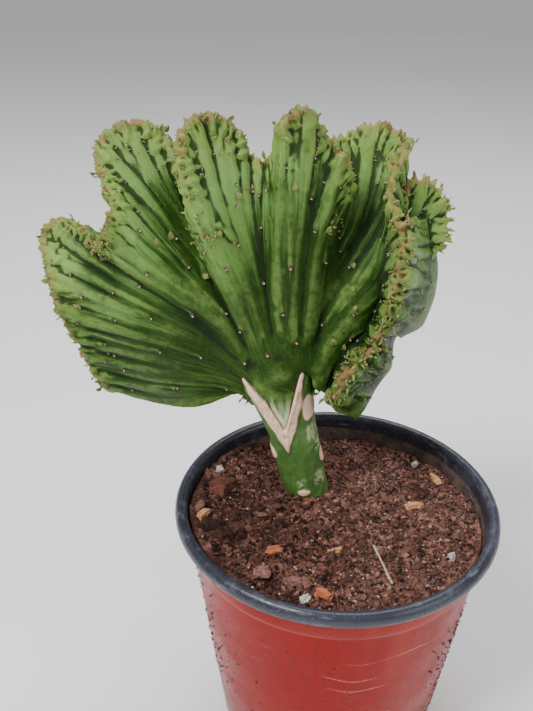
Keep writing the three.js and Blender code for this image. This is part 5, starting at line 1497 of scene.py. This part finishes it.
    # root fibres and thin splinters
    V, F, H, off = [], [], [], 0
    for i, p in enumerate(spots(190, 66)):
        ln, az, r = 2.0 + 6.0 * rs.random() ** 1.6, rs.uniform(0, 2 * np.pi), 0.10 + 0.10 * rs.random()
        bend = rs.normal(0, 0.35)
        t = np.linspace(-0.5, 0.5, 7)
        x = p[0] + ln * t * math.cos(az) - bend * ln * t * t * math.sin(az)
        y = p[1] + ln * t * math.sin(az) + bend * ln * t * t * math.cos(az)
        k = np.minimum(1, 67.5 / np.maximum(np.hypot(x, y), 1e-6))
        x, y = x * k, y * k
        z = soil_height(x, y) + 0.9 + 0.8 * rs.random() + 0.5 * np.cos(t * 6 + i)
        c = np.stack([x, y, z], -1)
        T = unit(np.gradient(c, axis=0))
        S = unit(np.cross(T, [0, 0, 1.0]))
        U = np.cross(S, T)
        ang = np.arange(5) / 5 * 2 * np.pi
        taper = 0.35 + 0.65 * np.cos(t * 2.4)
        ring = c[:, None] + r * taper[:, None, None] * (np.cos(ang)[None, :, None] * S[:, None] + np.sin(ang)[None, :, None] * U[:, None])
        v = np.concatenate([ring.reshape(-1, 3), c[:1], c[-1:]])
        q = loft_faces(7, 5)
        ii = np.arange(5)
        jj = (ii + 1) % 5
        tri = np.concatenate([q[:, [0, 1, 2]], q[:, [0, 2, 3]], np.stack([np.full(5, 35), jj, ii], -1), np.stack([np.full(5, 36), 30 + ii, 30 + jj], -1)])
        V.append(v)
        F.append(tri + off)
        off += len(v)
        H.append(np.full(len(v), rs.random()))
    me = make_mesh("root_fibres", np.concatenate(V), np.concatenate(F))
    set_attr(me, "hue", np.concatenate(H))
    add_object("root_fibres", me, bark_material("fibre", (0.060, 0.024, 0.014), (0.20, 0.095, 0.055), (0.46, 0.30, 0.18)))


# ------------------------------------------------------------------- loose bits
LOOSE = [
    ('bark_chunk', 'bark', -55.4, 12.0, 72, 16, 16, 12, 8),
    ('wood_chip_left', 'wood', -63.4, -9.6, 62, 10, 13, 4.6, 2.6),
    ('bark_chip_orange', 'orange', -30.7, -30.3, 20, 12, 9, 5.2, 3.2),
    ('bark_flake_pointed', 'mauve', -35.6, -45.3, 78, 14, 15, 9, 2.8),
    ('bark_flake_front', 'mauve', -19.3, -48.5, 15, 8, 12, 8.5, 3.2),
    ('bark_chip_russet', 'orange', -8.2, -57.0, -12, 10, 9, 6, 3.4),
    ('twig_curl', 'wood', -1.0, -26.5, 35, 6, 10, 2.6, 2.4),
    ('wood_chip_right', 'wood', 39.7, 7.7, 24, 8, 11, 5.5, 2.6),
    ('wood_chip_far', 'wood', 55.0, 30.2, -60, 8, 9, 4.6, 2.4),
    ('perlite_left', 'perlite', -58.2, 29.3, 0, 0, 4.6, 4.0, 3.6),
    ('perlite_far', 'perlite', 46.4, 43.8, 30, 0, 4.2, 3.6, 3.2),
    ('perlite_front', 'perlite', -17.2, -60.8, 60, 0, 5.0, 4.0, 3.4),
    ('perlite_right', 'perlite', 51.3, -31.4, 15, 0, 4.4, 3.8, 3.2),
]
STRAW = np.array([[16.2, -24.4], [17.6, -31.0], [19.2, -38.0], [20.2, -44.0], [21.3, -50.0]])


def make_loose():
    mats = {
        'bark': bark_material("bark_red", (0.030, 0.008, 0.005), (0.115, 0.030, 0.018), (0.27, 0.095, 0.060)),
        'orange': bark_material("bark_orange", (0.160, 0.035, 0.012), (0.48, 0.130, 0.050), (0.68, 0.28, 0.13)),
        'mauve': bark_material("bark_mauve", (0.080, 0.030, 0.024), (0.24, 0.100, 0.080), (0.46, 0.24, 0.20)),
        'wood': bark_material("wood_pale", (0.26, 0.095, 0.030), (0.62, 0.29, 0.12), (0.80, 0.50, 0.28)),
        'perlite': perlite_material(),
    }
    bv, bf = ico(4)
    for k, (name, kind, x, y, turn, tilt, ln, wd, th) in enumerate(LOOSE):
        rs = np.random.default_rng(300 + k)
        # a rounded slab: a superellipsoid, knapped along a few planes
        e = 0.55 if kind != 'perlite' else 0.75
        p = np.sign(bv) * np.abs(bv) ** e
        p = p / (np.abs(p) ** (2 / e)).sum(1, keepdims=True) ** (e / 2)
        for _ in range(7 if kind != 'perlite' else 4):
            nrm = unit(rs.normal(size=3) * np.array([1, 1, 0.5]))
            d = 0.62 + 0.22 * rs.random()
            s = p @ nrm
            p = p - np.maximum(s - d, 0)[:, None] * nrm
        if kind in ('bark', 'orange', 'mauve'):      # stepped layers
            lay = np.round(p[:, 2] * 4.0) / 4.0
            p[:, 2] = 0.55 * p[:, 2] + 0.45 * lay
        if name == 'bark_flake_pointed':
            p[:, 1] *= 1 - 0.55 * smooth(-0.2, 1.0, p[:, 0])
        if name == 'twig_curl':
            p[:, 1] += 1.1 * (p[:, 0] ** 2 - 0.4)
        q = p * np.array([ln, wd, th]) / 2
        grain = np.array([noise.noise(Vector((a * 0.25 + k, b * 1.1, c * 1.1))) for a, b, c in q])
        fine = np.array([noise.noise(Vector((a * 1.4 + k, b * 1.8, c * 1.8))) for a, b, c in q])
        q = q + unit(p) * (grain * 0.75 + fine * 0.40)[:, None] * (1.0 if kind == 'perlite' else 0.9)
        R = Matrix.Rotation(math.radians(turn), 3, 'Z') @ Matrix.Rotation(math.radians(tilt), 3, 'Y')
        q = q @ np.array(R).T
        q = q + np.array([x, y, float(soil_height(np.array(x), np.array(y))) + th * 0.18 + 0.35])
        me = make_mesh(name + "_fine", q, bf)
        set_attr(me, "hue", np.clip(0.5 + grain * 0.8, 0, 1))
        ob = add_object(name + "_fine", me, mats[kind])
        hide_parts(name)
    # straw
    t = np.linspace(0, 4, 40)
    c2 = catmull(STRAW, t)
    z = soil_height(c2[:, 0], c2[:, 1]) + 1.25 + 0.5 * np.sin(t * 1.7)
    c = np.stack([c2[:, 0], c2[:, 1], z], -1)
    T = unit(np.gradient(c, axis=0))
    S = unit(np.cross(T, [0, 0, 1.0]))
    U = np.cross(S, T)
    ang = np.arange(14) / 14 * 2 * np.pi
    r = 0.62 * (0.85 + 0.15 * np.cos(t * 2))
    rings = [c[i] + r[i] * (np.cos(ang)[:, None] * S[i] * (1 + 0.15 * np.sin(5 * i)) + np.sin(ang)[:, None] * U[i] * 0.75) for i in range(len(c))]
    me = closed_loft("straw_fine", rings)
    v, _ = mesh_arrays(me)
    set_attr(me, "hue", 0.5 + 0.4 * fbm(v, 0.8, 2, 2.0))
    ob = add_object("straw_fine", me, bark_material("straw_dry", (0.34, 0.24, 0.12), (0.55, 0.44, 0.26), (0.72, 0.63, 0.42)))
    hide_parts("straw_stalk")


# ------------------------------------------------------------------------- pot
def arc_points(cx, cz, r, a0, a1, n):
    t = np.radians(np.linspace(a0, a1, n))
    return [(cx + r * math.cos(a), cz + r * math.sin(a)) for a in t]


def make_pot():
    seg = 240
    zl = POT_HEIGHT - LIP_DROP
    R = LIP_RADIUS
    prof = [(17.0, 0.0), (18.0, 0.0), (18.6, 0.3), (19.4, 1.4), (20.4, 2.0), (42.6, 2.0), (43.6, 1.6), (44.2, 0.4), (44.9, 0.0), (50.4, 0.0), (51.4, 0.15), (53.0, 0.8), (54.4, 2.0), (pot_radius(5) - 0.5, 3.6), (pot_radius(5), 5.0)]
    prof += [(pot_radius(z) - 0.5 * smooth(40, 118, z), z) for z in (8, 14, 22, 32, 44, 56, 68, 80, 92, 104, 112, 117, 119.2)]
    prof += [(pot_radius(119.8) - 0.45, 119.8), (pot_radius(120.6) - 0.1, 120.6), (pot_radius(121.4) + 0.05, 121.4)]
    prof += [(pot_radius(z), z) for z in (124, 127, 129.5, 131.2)]
    prof += [(pot_radius(zl) + 0.15, zl - 0.25), (pot_radius(zl) + 0.8, zl)]
    prof += [(R - 3.2, zl), (R - 2.4, zl + 0.05)]
    prof += [(R - 1.5, zl + 0.5), (R - 0.7, zl + 1.3), (R - 0.2, zl + 2.3), (R, zl + 3.5), (R - 0.1, zl + 4.6), (R - 0.5, zl + 5.7),
             (R - 1.1, zl + 6.6), (R - 1.9, zl + 7.2), (R - 2.8, zl + 7.5), (R - 3.8, zl + 7.4), (R - 4.7, zl + 7.0),
             (R - 5.4, zl + 6.3), (R - 5.9, zl + 5.3), (R - 6.15, zl + 4.0)]
    red_rows = None
    inner = [(pot_radius(z) - WALL + (0.05 if z > 122 else 0), z) for z in (134, 131, 127, 124)]
    inner += [(pot_radius(122) - WALL - 0.35, 122.0), (pot_radius(121) - WALL - 0.5, 121.0)]
    inner += [(pot_radius(z) - WALL - 0.5, z) for z in (116, 108, 96, 80, 60, 40, 22, 10)]
    inner += [(pot_radius(5) - WALL - 0.7, 5.2), (pot_radius(3.4) - WALL - 2.4, FLOOR_Z), (18.0, FLOOR_Z), (17.0, FLOOR_Z)]
    prof = prof + inner
    a = np.arange(seg) / seg * 2 * np.pi
    rings = [np.stack([r * np.cos(a), r * np.sin(a), np.full(seg, z)], -1) for r, z in prof]
    # slight out-of-true of thin moulded plastic
    for ring, (r, z) in zip(rings, prof):
        k = 1 + 0.0016 * np.cos(2 * a + 0.6) * smooth(20, 140, z)
        ring[:, 0] *= k
        ring[:, 1] *= k
    body = closed_loft("pot", rings)
    me = body
    for i in range(6):
        b = (i + 0.5) / 6 * 2 * np.pi
        cx, cy = 31 * math.cos(b), 31 * math.sin(b)
        t = np.arange(40) / 40 * 2 * np.pi
        hole = closed_loft("h", [np.stack([cx + 4.5 * np.cos(t), cy + 4.5 * np.sin(t), np.full(40, z)], -1) for z in (-4.0, 8.0)])
        me = boolean(me, hole, 'DIFFERENCE')
    me.name = "pot_shell"
    ob = add_object("pot_shell", me, [pot_red_material(), pot_black_material()])
    n = len(me.polygons)
    c = np.empty(n * 3, np.float32)
    me.polygons.foreach_get("center", c)
    c = c.reshape(-1, 3) / MM
    r = np.hypot(c[:, 0], c[:, 1])
    wall = pot_radius(c[:, 2]) - WALL / 2
    black = (c[:, 2] > zl - 0.12) | ((r < wall) & (c[:, 2] > 2.7)) 
    me.polygons.foreach_set("material_index", black.astype(np.int32))
    me.polygons.foreach_set("use_smooth", np.full(n, True))
    me.update()
    # keep the drain holes' edges and the lip's underside crisp
    me.set_sharp_from_angle(angle=math.radians(48))
    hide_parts("nursery_pot")


def make_grime():
    """crumbs of damp mix stuck to the wall"""
    rs = np.random.default_rng(77)
    bv, bf = ico(1)
    A, H = [], []
    for mean, spread, lo, hi, n, bias in ((-24.0, 10.0, 22.0, 104.0, 520, 1.4), (201.0, 9.0, 40.0, 114.0, 170, 1.1), (-95.0, 45.0, 30.0, 116.0, 60, 1.0)):
        for _ in range(n):
            a = math.radians(mean + spread * rs.normal())
            z = lo + (hi - lo) * rs.random() ** bias
            out = np.array([math.cos(a), math.sin(a), 0.08])
            size = 0.16 + 0.42 * rs.random() ** 2.4
            R = frames(np.zeros((1, 3)), unit(np.array([[-out[1], out[0], rs.normal()]])), out[None])[0]
            A.append(np.concatenate([R * np.array([size, size * (0.8 + 0.9 * rs.random()), size * 0.55]),
                                     (np.array([out[0], out[1], 0.0]) * (pot_radius(z) + 0.10 * size) + np.array([0, 0, z]))[:, None]], 1))
            H.append(rs.random() ** 1.6)
    body = bv * (1 + 0.22 * rs.normal(size=(len(bv), 1)))
    v, f = scatter(body, bf, np.array(A))
    me = make_mesh("wall_crumbs", v, f)
    set_attr(me, "hue", np.repeat(H, len(bv)))
    add_object("wall_crumbs", me, bark_material("wall_mix", (0.024, 0.010, 0.007), (0.085, 0.040, 0.028), (0.26, 0.150, 0.105)))


# ------------------------------------------------------------- camera and stage
def make_stage():
    cam = bpy.data.cameras.new("camera")
    ob = bpy.data.objects.new("camera", cam)
    bpy.context.scene.collection.objects.link(ob)
    R = Matrix(((EYE_RIGHT[0], EYE_UP[0], -EYE_FWD[0]), (EYE_RIGHT[1], EYE_UP[1], -EYE_FWD[1]), (EYE_RIGHT[2], EYE_UP[2], -EYE_FWD[2])))
    ob.matrix_world = Matrix.Translation(Vector(EYE * MM)) @ R.to_4x4()
    cam.sensor_width, cam.lens = 36.0, 800.0 * 36.0 / 711.0
    cam.clip_start, cam.clip_end = 0.01, 20
    bpy.context.scene.camera = ob

    me = bpy.data.meshes.new("floor")
    s = 3.0
    me.from_pydata([(-s, -s, 0), (s, -s, 0), (s, s, 0), (-s, s, 0)], [], [(0, 1, 2, 3)])
    fl = bpy.data.objects.new("floor", me)
    bpy.context.scene.collection.objects.link(fl)
    m = Mat("floor")
    m.set(Base_Color=m.ramp(m.noise(3, 3, 0.5), [(0.3, (0.93, 0.93, 0.93)), (0.7, (0.96, 0.96, 0.96))]), Roughness=0.7)
    me.materials.append(m.m)

    w = bpy.data.worlds.new("world")
    bpy.context.scene.world = w
    w.use_nodes = True
    bg = w.node_tree.nodes.get("Background") or w.node_tree.nodes.new("ShaderNodeBackground")
    bg.inputs[0].default_value = (1.0, 1.0, 1.0, 1)
    bg.inputs[1].default_value = 0.42

    def area(name, loc, target, size, power, color=(1, 1, 1)):
        li = bpy.data.lights.new(name, 'AREA')
        li.energy, li.size, li.color = power, size, color
        o = bpy.data.objects.new(name, li)
        bpy.context.scene.collection.objects.link(o)
        d = Vector(target) - Vector(loc)
        o.matrix_world = Matrix.Translation(Vector(loc)) @ d.to_track_quat('-Z', 'Y').to_matrix().to_4x4()
    area("key", (-0.68, -0.56, 1.28), (0, 0, 0.18), 0.42, 21.0)
    area("fill", (1.0, -0.7, 0.75), (0, 0, 0.18), 0.9, 5.0)
    area("top", (0.1, 0.55, 1.3), (0, 0, 0.2), 0.8, 10.0)


make_stage()
sheets, crest_v, crest_n = make_crest()
make_details(sheets, crest_v, crest_n)
make_stem()
make_pot()
make_soil()
make_loose()
make_grime()
